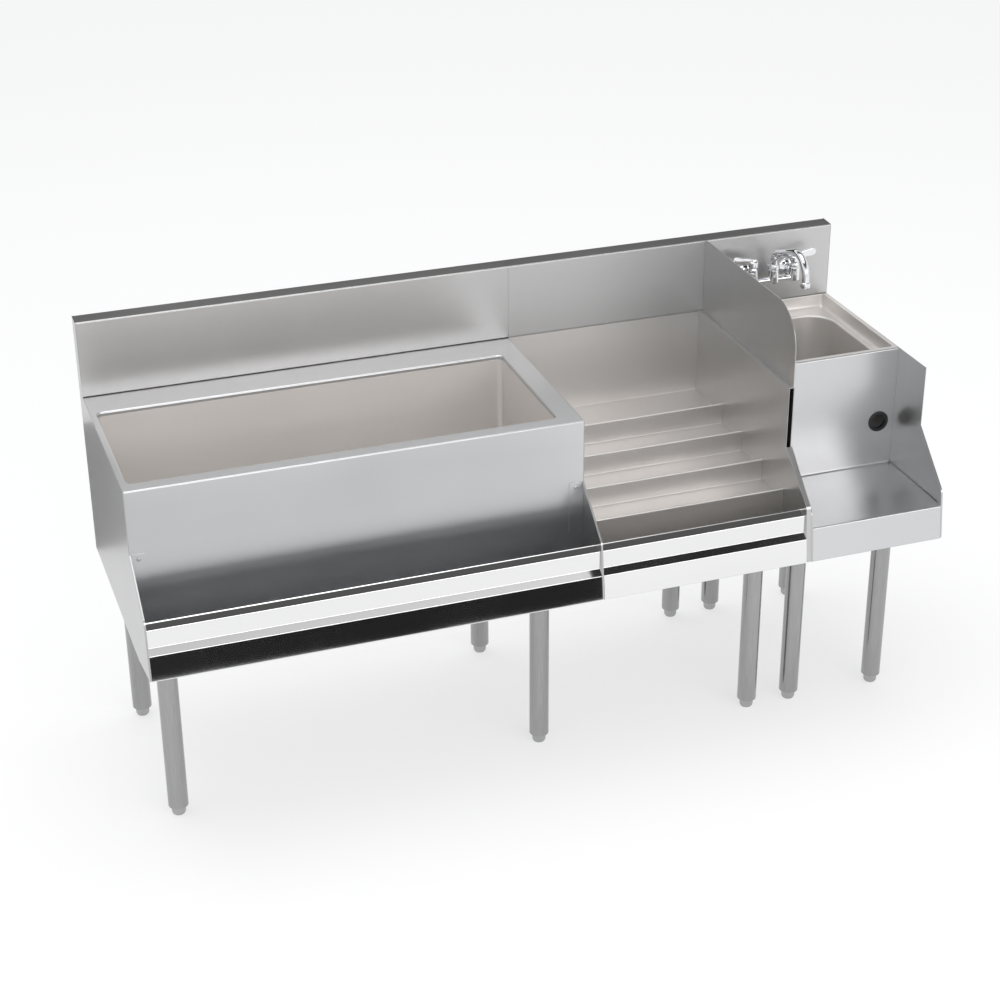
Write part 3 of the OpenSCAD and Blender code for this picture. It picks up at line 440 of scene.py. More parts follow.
def add_piece(name, shape, finish, nodes=(), body="station", thick=0.0, outside=None,
              edge=0.0, smooth=SMOOTH, inside=None):
    bmesh.ops.remove_doubles(shape, verts=shape.verts, dist=WELD)
    bmesh.ops.recalc_face_normals(shape, faces=shape.faces)
    if outside:
        widest = max(shape.faces, key=lambda face: face.calc_area())
        if (Vector(outside) - widest.calc_center_median()).dot(widest.normal) < 0:
            bmesh.ops.reverse_faces(shape, faces=shape.faces)
    mesh = bpy.data.meshes.new(name)
    shape.to_mesh(mesh)
    shape.free()
    mesh.shade_smooth()
    mesh.set_sharp_from_angle(angle=math.radians(smooth))
    mesh.materials.append(finish)
    made = bpy.data.objects.new(name, mesh)
    bpy.context.scene.collection.objects.link(made)
    if inside:
        mesh.materials.append(inside)
    if thick:
        wall = made.modifiers.new("thickness", "SOLIDIFY")
        wall.material_offset = 1 if inside else 0
        wall.thickness = thick
        wall.offset = -1
        wall.use_even_offset = True
    if edge:
        soften = made.modifiers.new("edges", "BEVEL")
        soften.width = edge
        soften.segments = 2
        soften.limit_method = "ANGLE"
        soften.angle_limit = CUT_TURN
        soften.harden_normals = True
    level = made.modifiers.new("flat_faces", "WEIGHTED_NORMAL")
    level.keep_sharp = True
    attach(made, body)
    if nodes:
        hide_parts(*nodes)
    print(name, len(mesh.polygons), "faces")
    return made


def joined(shapes):
    """Several closed shapes in one piece."""
    whole = bmesh.new()
    for shape in shapes:
        part = bpy.data.meshes.new("part")
        bmesh.ops.remove_doubles(shape, verts=shape.verts, dist=WELD)
        bmesh.ops.recalc_face_normals(shape, faces=shape.faces)
        shape.to_mesh(part)
        shape.free()
        whole.from_mesh(part)
        bpy.data.meshes.remove(part)
    return whole


def new_verts(made):
    return [item for item in made["geom"] if isinstance(item, bmesh.types.BMVert)]


def new_edges(made):
    return [item for item in made["geom"] if isinstance(item, bmesh.types.BMEdge)]


FRONT = (0, -9, 1)
ABOVE = (0, 0, 9)
BELOW = (0, 0, -9)

# %% [markdown]
# Most of the station is sheet bent on a brake: one line seen from the side, carried
# along the width. A folded piece starts as a chain of points, is extruded along X, and
# each fold is bevelled to its bend radius. How far the bevel reaches back from a fold
# depends on how sharply the sheet turns there.

# %% Fold a sheet
def folded(line, x0, x1, radius=FOLD, steps=5):
    shape = bmesh.new()
    points = [shape.verts.new((x0, y, z)) for y, z in line]
    chain = [shape.edges.new(pair) for pair in zip(points, points[1:])]
    moved = new_verts(bmesh.ops.extrude_edge_only(shape, edges=chain))
    bmesh.ops.translate(shape, verts=moved, vec=(x1 - x0, 0, 0))
    shape.normal_update()
    folds = [(edge, edge.calc_face_angle(0.0)) for edge in shape.edges if len(edge.link_faces) == 2]
    for fold, turn in folds:
        bmesh.ops.bevel(shape, geom=[fold], offset=radius * math.tan(turn / 2), segments=steps,
                        profile=0.5, affect="EDGES", material=-1, clamp_overlap=True)
    return shape


# %% [markdown]
# The back splash is a channel in three lengths: up from the rim, back to the wall over a
# top that rises a little, and down again. A plain cap closes each end.

# %% Back splash
SPLASH_PITCH = 2 * MM
SPLASH_RETURN = 32 * MM
splash_line = [
    (Y_SPLASH + HEM, RIM), (Y_SPLASH, RIM), (Y_SPLASH, SPLASH_TOP - SPLASH_PITCH),
    (Y_WALL, SPLASH_TOP), (Y_WALL, SPLASH_TOP - SPLASH_RETURN),
]
for name, x0, x1 in (
    ("splash_bin", X_LEFT + SHEET, X_BIN - SEAM / 2),
    ("splash_display", X_BIN + SEAM / 2, X_SINK - SEAM / 2),
    ("splash_sink", X_SINK + SEAM / 2, X_RIGHT - SHEET),
):
    add_piece(name + "_sheet", folded(splash_line, x0, x1), SPLASH, [name],
              thick=SHEET, outside=FRONT, edge=CUT_EDGE)


def flat_sheet(outline, x0, thick, corners=(), radius=0.0, steps=6):
    """A flat sheet in the plane of Y and Z, with some of its corners rounded."""
    shape = bmesh.new()
    points = [shape.verts.new((x0, y, z)) for y, z in outline]
    shape.faces.new(points)
    if corners:
        bmesh.ops.bevel(shape, geom=[points[i] for i in corners], offset=radius, segments=steps,
                        profile=0.5, affect="VERTICES", material=-1)
    moved = new_verts(bmesh.ops.extrude_face_region(shape, geom=shape.faces[:]))
    bmesh.ops.translate(shape, verts=moved, vec=(thick, 0, 0))
    return shape


cap_outline = [
    (Y_SPLASH, RIM), (Y_SPLASH, SPLASH_TOP - SPLASH_PITCH), (Y_WALL, SPLASH_TOP), (Y_WALL, RIM),
]
caps = [flat_sheet(cap_outline, x0, SHEET, [1], FOLD) for x0 in (X_LEFT, X_RIGHT - SHEET)]
add_piece("splash_caps", joined(caps), UPRIGHT, ["splash_end_caps"], edge=CUT_EDGE)

# %% [markdown]
# The five upright panels share one outline: straight down to the knee, sloping out to
# the nose, and leaning back to the lip. Where hands reach over them the sheet is folded
# back on itself, so the strip along that edge is thicker and its edge is round. The
# outline and the strip are two faces with a common line, so both grow from one sheet.

# %% End and side panels
PANEL_CORNER = 6 * MM
HEM_EDGE = 0.6 * MM


def panel_front(nose, inset=0.0):
    return [(Y_BODY + inset, KNEE + inset / 2), (front_y(nose) + inset, nose - inset / 2),
            (front_y(LIP) + inset, LIP)]


def hem_start(nose):
    """Height at which the hem's inner line meets the front of the body."""
    knee, point = panel_front(nose, HEM)[:2]
    return knee[1] - (knee[1] - point[1]) * HEM / (knee[0] - point[0])


def panel_sheet(x_outer, nose, inward, hem_thick, rear):
    shape = bmesh.new()
    knee, point, lip = panel_front(nose)
    inner = panel_front(nose, HEM)
    places = [(rear, UNDER), (rear, RIM), (Y_BODY, RIM), knee, (Y_BODY, hem_start(nose)),
              inner[1], inner[2], (Y_BODY, UNDER), lip, point]
    at = [shape.verts.new((x_outer, y, z)) for y, z in places]
    shape.faces.new([at[i] for i in (0, 1, 2, 3, 4, 5, 6, 7)])
    shape.faces.new([at[i] for i in (3, 9, 8, 6, 5, 4)])
    bmesh.ops.bevel(shape, geom=[at[8], at[9]], offset=PANEL_CORNER, segments=6, profile=0.5,
                    affect="VERTICES", material=-1)
    moved = new_verts(bmesh.ops.extrude_face_region(shape, geom=shape.faces[:]))
    bmesh.ops.translate(shape, verts=moved, vec=(inward * SHEET, 0, 0))
    inside_x = x_outer + inward * SHEET
    shape.normal_update()
    caps = [f for f in shape.faces if all(abs(v.co.x - inside_x) < NEAR for v in f.verts)]
    strip = min(caps, key=lambda f: f.calc_area())
    lifted = new_verts(bmesh.ops.extrude_face_region(shape, geom=[strip]))
    bmesh.ops.delete(shape, geom=[strip], context="FACES_ONLY")
    bmesh.ops.translate(shape, verts=lifted, vec=(inward * hem_thick, 0, 0))
    return shape


for node_name, x_outer, nose, inward in (
    ("end_panel_left", X_LEFT, NOSE, 1),
    ("bin_side_panel", X_BIN, NOSE, -1),
    ("display_side_panel", X_WALL, NOSE, 1),
    ("sink_side_panel", X_SINK, SINK_NOSE, 1),
    ("end_panel_right", X_RIGHT, SINK_NOSE, -1),
):
    low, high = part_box(node_name)
    add_piece(node_name + "_sheet",
              panel_sheet(x_outer, nose, inward, high.x - low.x - SHEET, high.y),
              UPRIGHT, [node_name], edge=HEM_EDGE)

# %% [markdown]
# Openings in a sheet are rounded rectangles. One helper draws such a ring at a height,
# another joins two rings with faces. A rolled edge is then a few rings, each a little
# smaller and lower than the last, around a quarter turn, and the cove at the foot of a
# tub is the same turn the other way.

# %% Rounded rings
def ring(shape, low, high, z, radius, grow=0.0, steps=6):
    before = set(shape.faces)
    corners = [(low[0] - grow, low[1] - grow), (high[0] + grow, low[1] - grow),
               (high[0] + grow, high[1] + grow), (low[0] - grow, high[1] + grow)]
    points = [shape.verts.new((x, y, z)) for x, y in corners]
    shape.faces.new(points)
    bmesh.ops.bevel(shape, geom=points, offset=radius + grow, segments=steps, profile=0.5,
                    affect="VERTICES", material=-1)
    made = [face for face in shape.faces if face not in before]
    edges = list(made[0].edges)
    bmesh.ops.delete(shape, geom=made, context="FACES_ONLY")
    return edges


def bridge(shape, first, second):
    bmesh.ops.bridge_loops(shape, edges=first + second)
    return second


def quarter(radius, steps=5):
    """Steps of a quarter turn: how far across and how far along it has come."""
    turns = [math.pi / 2 * k / steps for k in range(1, steps + 1)]
    return [(radius * math.sin(a), radius * (1 - math.cos(a))) for a in turns]


def roll_down(shape, last, low, high, top, corner, radius, steps=6):
    for across, down in quarter(radius):
        grow = radius - across
        last = bridge(shape, last, ring(shape, low, high, top - down, corner, grow, steps))
    return last


def cove_down(shape, last, low, high, floor, corner, radius, turns=6, steps=6):
    last = bridge(shape, last, ring(shape, low, high, floor + radius, corner, 0.0, steps))
    for down, inward in quarter(radius, turns):
        z = floor + radius - down
        last = bridge(shape, last, ring(shape, low, high, z, corner, -inward, steps))
    return last


def circle(shape, radius, place, steps=48, filled=False):
    """A circle's edges, in a fixed order."""
    made = bmesh.ops.create_circle(shape, segments=steps, radius=radius, matrix=place,
                                   cap_ends=filled)
    return list(dict.fromkeys(e for v in made["verts"] for e in v.link_edges))


def rectangle(shape, x0, x1, y0, y1, z):
    points = [shape.verts.new((x, y, z)) for x, y in ((x0, y0), (x1, y0), (x1, y1), (x0, y1))]
    return [shape.edges.new((points[i], points[(i + 1) % 4])) for i in range(4)]


def carry(shape, edges, *moves):
    for move in moves:
        made = bmesh.ops.extrude_edge_only(shape, edges=edges)
        bmesh.ops.translate(shape, verts=new_verts(made), vec=move)
        edges = [e for e in new_edges(made) if all(v in new_verts(made) for v in e.verts)]
    return edges


def fold_moves(radius, steps=5):
    """The moves that carry a front edge forwards and down around a fold."""
    places = [(0, 0)] + quarter(radius, steps)
    return [(0, -(b[0] - a[0]), -(b[1] - a[1])) for a, b in zip(places, places[1:])]


# %% [markdown]
# The bin's rim and its face are one sheet. The rim is flat, the opening's edge rolls
# down into the tub, and the front edge folds down and runs to the underside. The tub
# below has rounded upright corners, a cove around its floor and a shallow sump.

# %% Ice bin
ROLL = 4 * MM
ROLL_LIP = 5 * MM
BIN_CORNER = 12 * MM
BIN_COVE = 5 * MM
LINER = 1.2 * MM
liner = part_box("bin_liner")
BIN_LOW = (liner[0].x + LINER, liner[0].y + LINER)
BIN_HIGH = (liner[1].x - LINER, liner[1].y - LINER)
SUMP_DEEP = 6 * MM
SUMP_R = 44 * MM
DRAIN_HOLE = 17 * MM
BIN_FLOOR = liner[0].z + LINER + SUMP_DEEP
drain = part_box("bin_strainer_plate")
BIN_DRAIN = (drain[0] + drain[1]) / 2


def rolled_rim(shape, outer, low, high, top, corner):
    first = ring(shape, low, high, top, corner, ROLL)
    bmesh.ops.triangle_fill(shape, use_beauty=True, edges=outer + first)
    last = roll_down(shape, first, low, high, top, corner, ROLL)
    return bridge(shape, last, ring(shape, low, high, top - ROLL - ROLL_LIP, corner))


def bin_top():
    shape = bmesh.new()
    outer = rectangle(shape, X_LEFT + SHEET, X_BIN - SHEET, Y_BODY + FOLD, Y_SPLASH, RIM)
    front = outer[0]
    rolled_rim(shape, outer, BIN_LOW, BIN_HIGH, RIM, BIN_CORNER)
    last = carry(shape, [front], *fold_moves(FOLD))
    carry(shape, last, (0, 0, UNDER - (RIM - FOLD)))
    return shape


add_piece("bin_rim_and_face", bin_top(), PANEL, ["bin_top_frame", "bin_front_panel"],
          thick=SHEET, outside=FRONT, edge=CUT_EDGE)


def drawn_tub(low, high, top, floor, corner, cove, turns=6, steps=6):
    """Rings from the top of a tub to the edge of its floor."""
    shape = bmesh.new()
    first = ring(shape, low, high, top, corner, 0.0, steps)
    return shape, cove_down(shape, first, low, high, floor, corner, cove, turns, steps)


def floor_hole(shape, edge, centre, radius, z, depth):
    """A flat floor between a tub's edge and a round recess or hole."""
    hole = circle(shape, radius, Matrix.Translation((centre.x, centre.y, z)))
    bmesh.ops.triangle_fill(shape, use_beauty=True, edges=edge + hole)
    return carry(shape, hole, (0, 0, -depth))


def bin_tub():
    shape, edge = drawn_tub(BIN_LOW, BIN_HIGH, RIM - ROLL - ROLL_LIP, BIN_FLOOR,
                            BIN_CORNER, BIN_COVE)
    sump = floor_hole(shape, edge, BIN_DRAIN, SUMP_R, BIN_FLOOR, SUMP_DEEP)
    spot = Matrix.Translation((BIN_DRAIN.x, BIN_DRAIN.y, BIN_FLOOR - SUMP_DEEP))
    bridge(shape, sump, circle(shape, DRAIN_HOLE, spot))
    return shape


add_piece("bin_tub", bin_tub(), TUB_PAINTED_LIGHT, ["bin_liner"], thick=LINER, outside=(0, 0, 9))

# %% [markdown]
# The rails are open troughs. Each front is folded into bands: a leaning band with a soft
# crease, a sloping step, an upright band and a chamfer that ends in a hem. Each band
# faces a little differently, so each mirrors another part of the room. The sheet's top
# edge at the back is blended into the body's face, so no step shows there.

# %% Rails
RAIL_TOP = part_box("bin_rail")[1].z
RAIL_BAND = 52 * MM
RAIL_STEP_UP = 14 * MM
RAIL_STEP_IN = 9 * MM
RAIL_UPPER = 36 * MM
RAIL_HEM = 13 * MM
RAIL_BACK = NOSE - 20 * MM
RAIL_LEAN = 2 * MM
BRAKE = 2.4 * MM


def rail_line(crease_out):
    band = LIP + RAIL_BAND
    step = band + RAIL_STEP_UP
    upper = step + RAIL_UPPER
    upper_y = front_y(band) + RAIL_STEP_IN
    top_y = upper_y + RAIL_LEAN + RAIL_TOP - upper
    crease = LIP + RAIL_BAND / 2
    return [
        (Y_BODY + SHEET, RAIL_BACK), (Y_BODY, LIP), (Y_LIP, LIP),
        (front_y(crease) - crease_out, crease), (front_y(band), band), (upper_y, step),
        (upper_y + RAIL_LEAN, upper), (top_y, RAIL_TOP), (top_y, RAIL_TOP - RAIL_HEM),
    ]


for name, x0, x1, crease_out, inside in (
    ("bin_rail", X_LEFT + SHEET + HEM_THICK, X_BIN - SHEET - HEM_THICK, 0.0, PANEL),
    ("display_rail", X_BIN, X_WALL, MM, TREAD),
):
    add_piece(name + "_trough", folded(rail_line(crease_out), x0, x1, BRAKE), RAIL, [name],
              thick=SHEET, outside=BELOW, edge=CUT_EDGE, inside=inside)

# %% [markdown]
# The bottle display is one long sheet too: flat treads, each ending in a lip that rises,
# folds over and drops to the next tread.

# %% Bottle display
TIERS = 4
TIER_DEEP = 101.6 * MM
TIER_DROP = 21.3 * MM
TIER_LIP = 25.4 * MM
TIER_LIP_THICK = 5 * MM
TIER_NOSE = 535 * MM
TIER_FOLD = 2.2 * MM


def tier_line():
    back = TIER_NOSE + (TIERS - 1) * TIER_DROP - TIER_LIP
    line = [(Y_SPLASH, back + HEM)]
    for i in range(TIERS):
        y = Y_BODY + (TIERS - 1 - i) * TIER_DEEP
        z = TIER_NOSE + (TIERS - 1 - i) * TIER_DROP
        start = Y_SPLASH if i == 0 else y + TIER_DEEP
        line += [(start, z - TIER_LIP), (y + TIER_LIP_THICK, z - TIER_LIP),
                 (y + TIER_LIP_THICK, z), (y, z)]
    return line + [(Y_BODY, LIP)]


add_piece("display_treads", folded(tier_line(), X_BIN, X_WALL, TIER_FOLD, 4), TREAD,
          ["display_tiers"], thick=SHEET, outside=ABOVE, edge=CUT_EDGE)

# %% [markdown]
# The side guard is a thin sheet with one large round corner, standing on the wall
# between the display and the sink. It has a foot that closes the gap below.

# %% Side guard
GUARD_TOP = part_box("side_guard")[1].z
GUARD_CORNER = 90 * MM
guard_outline = [(Y_BODY, RIM), (Y_BODY, GUARD_TOP), (Y_SPLASH, GUARD_TOP), (Y_SPLASH, RIM)]
foot_outline = [(Y_BODY, RIM), (Y_BODY, RIM + SHEET), (Y_SPLASH, RIM + SHEET), (Y_SPLASH, RIM)]
guard = flat_sheet(guard_outline, X_SINK - SHEET, SHEET, [1], GUARD_CORNER, 20)
guard_foot = flat_sheet(foot_outline, X_WALL, X_SINK - SHEET - X_WALL)
add_piece("guard_sheet", joined([guard, guard_foot]), UPRIGHT, ["side_guard"],
          edge=0.3 * MM)

# %% [markdown]
# The sink's top is drawn in two steps. A rounded recess drops below the rim, and its
# floor is the deck around the bowl. Both edges are rolled.

# %% Sink top and bowl
DECK_DOWN = 30 * MM
DECK_CORNER = 8 * MM
DECK_COVE = 6 * MM
BOWL_CORNER = 60 * MM
BOWL_COVE = 25 * MM
BOWL_STEPS = 10
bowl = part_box("sink_bowl")
BOWL_LOW = (bowl[0].x + LINER, bowl[0].y + LINER)
BOWL_HIGH = (bowl[1].x - LINER, bowl[1].y - LINER)
BOWL_FLOOR = bowl[0].z + LINER
DECK = RIM - DECK_DOWN
DECK_SIDE = 10 * MM
DECK_FRONT = 13 * MM
DECK_LOW = (X_SINK + DECK_SIDE, Y_FACE + DECK_FRONT)
DECK_HIGH = (X_RIGHT - DECK_SIDE, Y_SPLASH - SEAM - SHEET)
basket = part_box("basket_strainer")
SINK_DRAIN = (basket[0] + basket[1]) / 2
EDGE_ROLL = 1.2 * MM
SINK_SUMP_R = 44 * MM
SINK_SUMP_DEEP = 2 * MM


def sink_top():
    shape = bmesh.new()
    outer = rectangle(shape, X_SINK + SHEET, X_RIGHT - SHEET, Y_FACE + FOLD, Y_SPLASH, RIM)
    first = ring(shape, DECK_LOW, DECK_HIGH, RIM, DECK_CORNER, EDGE_ROLL)
    bmesh.ops.triangle_fill(shape, use_beauty=True, edges=outer + first)
    last = roll_down(shape, first, DECK_LOW, DECK_HIGH, RIM, DECK_CORNER, EDGE_ROLL)
    last = cove_down(shape, last, DECK_LOW, DECK_HIGH, DECK, DECK_CORNER, DECK_COVE, 5)
    first = ring(shape, BOWL_LOW, BOWL_HIGH, DECK, BOWL_CORNER, ROLL, BOWL_STEPS)
    bmesh.ops.triangle_fill(shape, use_beauty=True, edges=last + first)
    roll_down(shape, first, BOWL_LOW, BOWL_HIGH, DECK, BOWL_CORNER, ROLL, BOWL_STEPS)
    return shape


add_piece("sink_top_sheet", sink_top(), TUB_PAINTED_LIGHT, ["sink_deck"], thick=LINER,
          outside=(X_SINK, Y_FACE, 9), edge=0.2 * MM)


def sink_tub():
    shape, last = drawn_tub(BOWL_LOW, BOWL_HIGH, DECK - ROLL, BOWL_FLOOR, BOWL_CORNER,
                            BOWL_COVE, 9, BOWL_STEPS)
    floor_hole(shape, last, SINK_DRAIN, SINK_SUMP_R, BOWL_FLOOR, SINK_SUMP_DEEP)
    return shape


add_piece("sink_bowl_tub", sink_tub(), TUB_PAINTED_LIGHT, ["sink_bowl"], thick=LINER,
          outside=(SINK_DRAIN.x, SINK_DRAIN.y, BOWL_FLOOR + 0.1))

# %% [markdown]
# The face of the sink folds down from the rim and has a round hole for the blender's
# cord. A hole in a sheet of four-sided faces is made by cutting the sheet into cells and
# joining one cell's outline to a circle. The shelf below it starts with a small fold up
# the face, runs forward, folds down over the nose and ends in a lip.

# %% Face, shelf and cord ring
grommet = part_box("cord_grommet")
CORD = (grommet[0] + grommet[1]) / 2
CORD_HOLE = 19 * MM
CORD_CELL = 28 * MM
FACE_FOOT = 6 * MM
HOLE_STEPS = 32


def face_with_hole():
    shape = bmesh.new()
    xs = [X_SINK + SHEET, CORD.x - CORD_CELL, CORD.x + CORD_CELL, X_RIGHT - SHEET]
    zs = [SHELF + FACE_FOOT, CORD.z - CORD_CELL, CORD.z + CORD_CELL, RIM - FOLD]
    grid = [[shape.verts.new((x, Y_FACE, z)) for x in xs] for z in zs]
    cells = [(i, j) for i in range(3) for j in range(3)]
    for i, j in cells:
        shape.faces.new((grid[i][j], grid[i][j + 1], grid[i + 1][j + 1], grid[i + 1][j]))
    shape.faces.ensure_lookup_table()
    middle = shape.faces[4]
    sides = list(middle.edges)
    bmesh.ops.delete(shape, geom=[middle], context="FACES_ONLY")
    turn = Matrix.Translation((CORD.x, Y_FACE, CORD.z)) @ Matrix.Rotation(math.pi / 2, 4, "X")
    hole = circle(shape, CORD_HOLE, turn, HOLE_STEPS)
    bmesh.ops.triangle_fill(shape, use_beauty=True, edges=sides + hole)
    top = [e for e in shape.edges if all(abs(v.co.z - zs[-1]) < NEAR for v in e.verts)]
    carry(shape, top, *[(0, -y, -z) for _, y, z in reversed(fold_moves(FOLD))])
    return shape


add_piece("sink_face", face_with_hole(), PANEL, ["sink_front_panel"], thick=SHEET,
          outside=FRONT, edge=0.2 * MM)

shelf_line = [
    (Y_FACE, SHELF + FACE_FOOT), (Y_FACE, SHELF), (front_y(SHELF), SHELF), (Y_LIP, LIP),
    (Y_LIP + HEM, LIP),
]
add_piece("shelf_sheet",
          folded(shelf_line, X_SINK + SHEET + HEM_THICK, X_RIGHT - SHEET - HEM_THICK),
          PANEL, ["blender_shelf"], thick=SHEET, outside=ABOVE, edge=CUT_EDGE)

# %% [markdown]
# Round pieces are turned: a line in one half plane goes once around an axis. The line's
# ends that lie on the axis meet in one point, and the others close the piece.

# %% Turn a piece
def turned(profile, place, axis="Z", steps=48, closed=False):
    shape = bmesh.new()
    points = [shape.verts.new((r, 0, h)) for r, h in profile]
    pairs = list(zip(points, points[1:])) + ([(points[-1], points[0])] if closed else [])
    chain = [shape.edges.new(pair) for pair in pairs]
    bmesh.ops.spin(shape, geom=points + chain, cent=(0, 0, 0), axis=(0, 0, 1),
                   angle=2 * math.pi, steps=steps, use_merge=True)
    bmesh.ops.remove_doubles(shape, verts=shape.verts, dist=WELD)
    turns = {"Z": Matrix(), "-Y": Matrix.Rotation(math.pi / 2, 4, "X"),
             "Y": Matrix.Rotation(-math.pi / 2, 4, "X"), "X": Matrix.Rotation(math.pi / 2, 4, "Y")}
    bmesh.ops.transform(shape, matrix=Matrix.Translation(place) @ turns[axis], verts=shape.verts)
    return shape


def rod(radius, h0, h1, round_off=0.6 * MM):
    """Profile of a solid rod with rounded ends."""
    r = round_off
    return [(0, h0), (radius - r, h0), (radius - 0.3 * r, h0 + 0.3 * r), (radius, h0 + r),
            (radius, h1 - r), (radius - 0.3 * r, h1 - 0.3 * r), (radius - r, h1), (0, h1)]


bore = CORD_HOLE - 3 * MM
lip = CORD_HOLE + 4 * MM
side = 3.5 * MM
ring_profile = [
    (bore, side - MM), (bore + MM, side), (lip - 1.6 * MM, side), (lip - 0.5 * MM, side - 0.5 * MM),
    (lip, side - 1.6 * MM), (lip, 0), (CORD_HOLE, 0), (CORD_HOLE, -SHEET), (lip, -SHEET),
    (lip, -SHEET - side + 1.6 * MM), (lip - 1.6 * MM, -SHEET - side), (bore, -SHEET - side),
]
add_piece("cord_ring", turned(ring_profile, (CORD.x, Y_FACE, CORD.z), "-Y", 64, closed=True),
          RUBBER, ["cord_grommet"], smooth=35)

# %% [markdown]
# The faucet bolts to the splash. Two round valve columns and a middle column stand on a
# bridge tube. Each valve has a shank through the splash with a wall flange, a bonnet and
# a lever, and the middle column carries the spout under its nut.

# %% Faucet body
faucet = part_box("faucet_body")
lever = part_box("handle_right")
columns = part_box("valve_bonnets")
FAUCET_R = 12 * MM
FAUCET_X = (faucet[0].x + faucet[1].x) / 2
FAUCET_Y = faucet[0].y + FAUCET_R
FAUCET_UP = 74 * MM
FAUCET_Z = RIM + FAUCET_UP
CENTRES = 101.6 * MM
COLUMN_LOW = FAUCET_Z - 16 * MM
COLUMN_TOP = FAUCET_Z + 15 * MM
BRIDGE_R = 6.5 * MM
SHANK_R = 10.5 * MM
SHANK_END = faucet[1].y
valve_xs = (FAUCET_X - CENTRES / 2, FAUCET_X + CENTRES / 2)


def column(x):
    profile = [
        (0, COLUMN_LOW - 2 * MM), (FAUCET_R - 4 * MM, COLUMN_LOW - 2 * MM),
        (FAUCET_R - 2.2 * MM, COLUMN_LOW - 1.4 * MM), (FAUCET_R - 0.6 * MM, COLUMN_LOW),
        (FAUCET_R, COLUMN_LOW + 1.6 * MM), (FAUCET_R, COLUMN_TOP - 2 * MM),
        (FAUCET_R - 0.4 * MM, COLUMN_TOP - 0.8 * MM), (FAUCET_R - 1.4 * MM, COLUMN_TOP),
        (0, COLUMN_TOP),
    ]
    return turned(profile, (x, FAUCET_Y, 0))


def shank(x):
    return turned(rod(SHANK_R, 0, SHANK_END - FAUCET_Y), (x, FAUCET_Y, FAUCET_Z), "Y")


bridge_tube = turned(rod(BRIDGE_R, 0, CENTRES), (valve_xs[0], FAUCET_Y, COLUMN_LOW + BRIDGE_R),
                     "X")
body_shapes = [column(x) for x in (valve_xs[0], FAUCET_X, valve_xs[1])]
body_shapes += [shank(x) for x in valve_xs] + [bridge_tube]
add_piece("faucet_casting", joined(body_shapes), CHROME, ["faucet_body"])

flange_profile = [
    (SHANK_R + SEAM, 0), (26 * MM, 0), (26 * MM, 1.4 * MM), (25.4 * MM, 2.6 * MM),
    (23.6 * MM, 3.8 * MM), (20 * MM, 5.2 * MM), (16 * MM, 7 * MM), (14.2 * MM, 8 * MM),
    (SHANK_R + SEAM, 8 * MM),
]
flanges = [turned(flange_profile, (x, Y_SPLASH, FAUCET_Z), "-Y", 64, True) for x in valve_xs]
add_piece("wall_flanges", joined(flanges), CHROME, ["faucet_wall_flanges"],
          smooth=35)

BONNET = 11 * MM
STEM_R = 4.5 * MM
bonnet_profile = [
    (0, COLUMN_TOP), (11 * MM, COLUMN_TOP), (11 * MM, COLUMN_TOP + 4 * MM),
    (10.2 * MM, COLUMN_TOP + 5 * MM), (9.6 * MM, COLUMN_TOP + 6.4 * MM),
    (8.6 * MM, COLUMN_TOP + 9.6 * MM), (7 * MM, COLUMN_TOP + BONNET), (STEM_R, COLUMN_TOP + BONNET),
    (STEM_R, columns[1].z), (0, columns[1].z),
]
bonnets = [turned(bonnet_profile, (x, FAUCET_Y, 0)) for x in valve_xs]
add_piece("bonnets", joined(bonnets), CHROME, ["valve_bonnets"])

# %% [markdown]
# A lever is a round hub with an upright blade. The blade's outline has a full round tip,
# grows from the hub and is softened all around.

# %% Lever handles
HUB_R = 11.5 * MM
HUB_LOW = lever[0].z
HUB_H = 14 * MM
BLADE_T = 6 * MM
BLADE_H = 18 * MM
BLADE_RISE = 18 * MM
BLADE_SOFT = 1.8 * MM
LEVER = 50 * MM


def lever_handle(x, way):
    hub_profile = [
        (STEM_R + SEAM, HUB_LOW), (HUB_R - MM, HUB_LOW), (HUB_R, HUB_LOW + MM),
        (HUB_R, HUB_LOW + HUB_H - 3 * MM), (HUB_R - 0.6 * MM, HUB_LOW + HUB_H - 1.4 * MM),
        (HUB_R - 2.4 * MM, HUB_LOW + HUB_H - 0.3 * MM), (HUB_R - 5 * MM, HUB_LOW + HUB_H),
        (0, HUB_LOW + HUB_H), (0, HUB_LOW + HUB_H - 3 * MM),
        (STEM_R + SEAM, HUB_LOW + HUB_H - 3 * MM),
    ]
    hub = turned(hub_profile, (x, FAUCET_Y, 0), closed=True)
    tip = LEVER - BLADE_H / 2
    tip_arc = [
        (tip + BLADE_H / 2 * math.cos(a), BLADE_RISE + BLADE_H / 2 * math.sin(a))
        for a in [math.pi / 2 * (1 - k / 8) for k in range(17)]
    ]
    outline = [(3 * MM - HUB_R, HUB_H + 3 * MM)] + tip_arc + [(2 * MM - HUB_R, 3 * MM)]
    blade = bmesh.new()
    points = [blade.verts.new((x + way * forward, FAUCET_Y - BLADE_T / 2, HUB_LOW + up))
              for forward, up in outline]
    blade.faces.new(points)
    moved = new_verts(bmesh.ops.extrude_face_region(blade, geom=blade.faces[:]))
    bmesh.ops.translate(blade, verts=moved, vec=(0, BLADE_T, 0))
    rims = [e for e in blade.edges if abs(e.verts[0].co.y - e.verts[1].co.y) < NEAR]
    bmesh.ops.bevel(blade, geom=rims, offset=BLADE_SOFT, segments=3, profile=0.5,
                    affect="EDGES", material=-1, clamp_overlap=True)
    return joined([hub, blade])


add_piece("lever_left", lever_handle(valve_xs[0], -1), CHROME, ["handle_left"],
          "lever_left", smooth=40)
add_piece("lever_right", lever_handle(valve_xs[1], 1), CHROME, ["handle_right"],
          "lever_right", smooth=40)

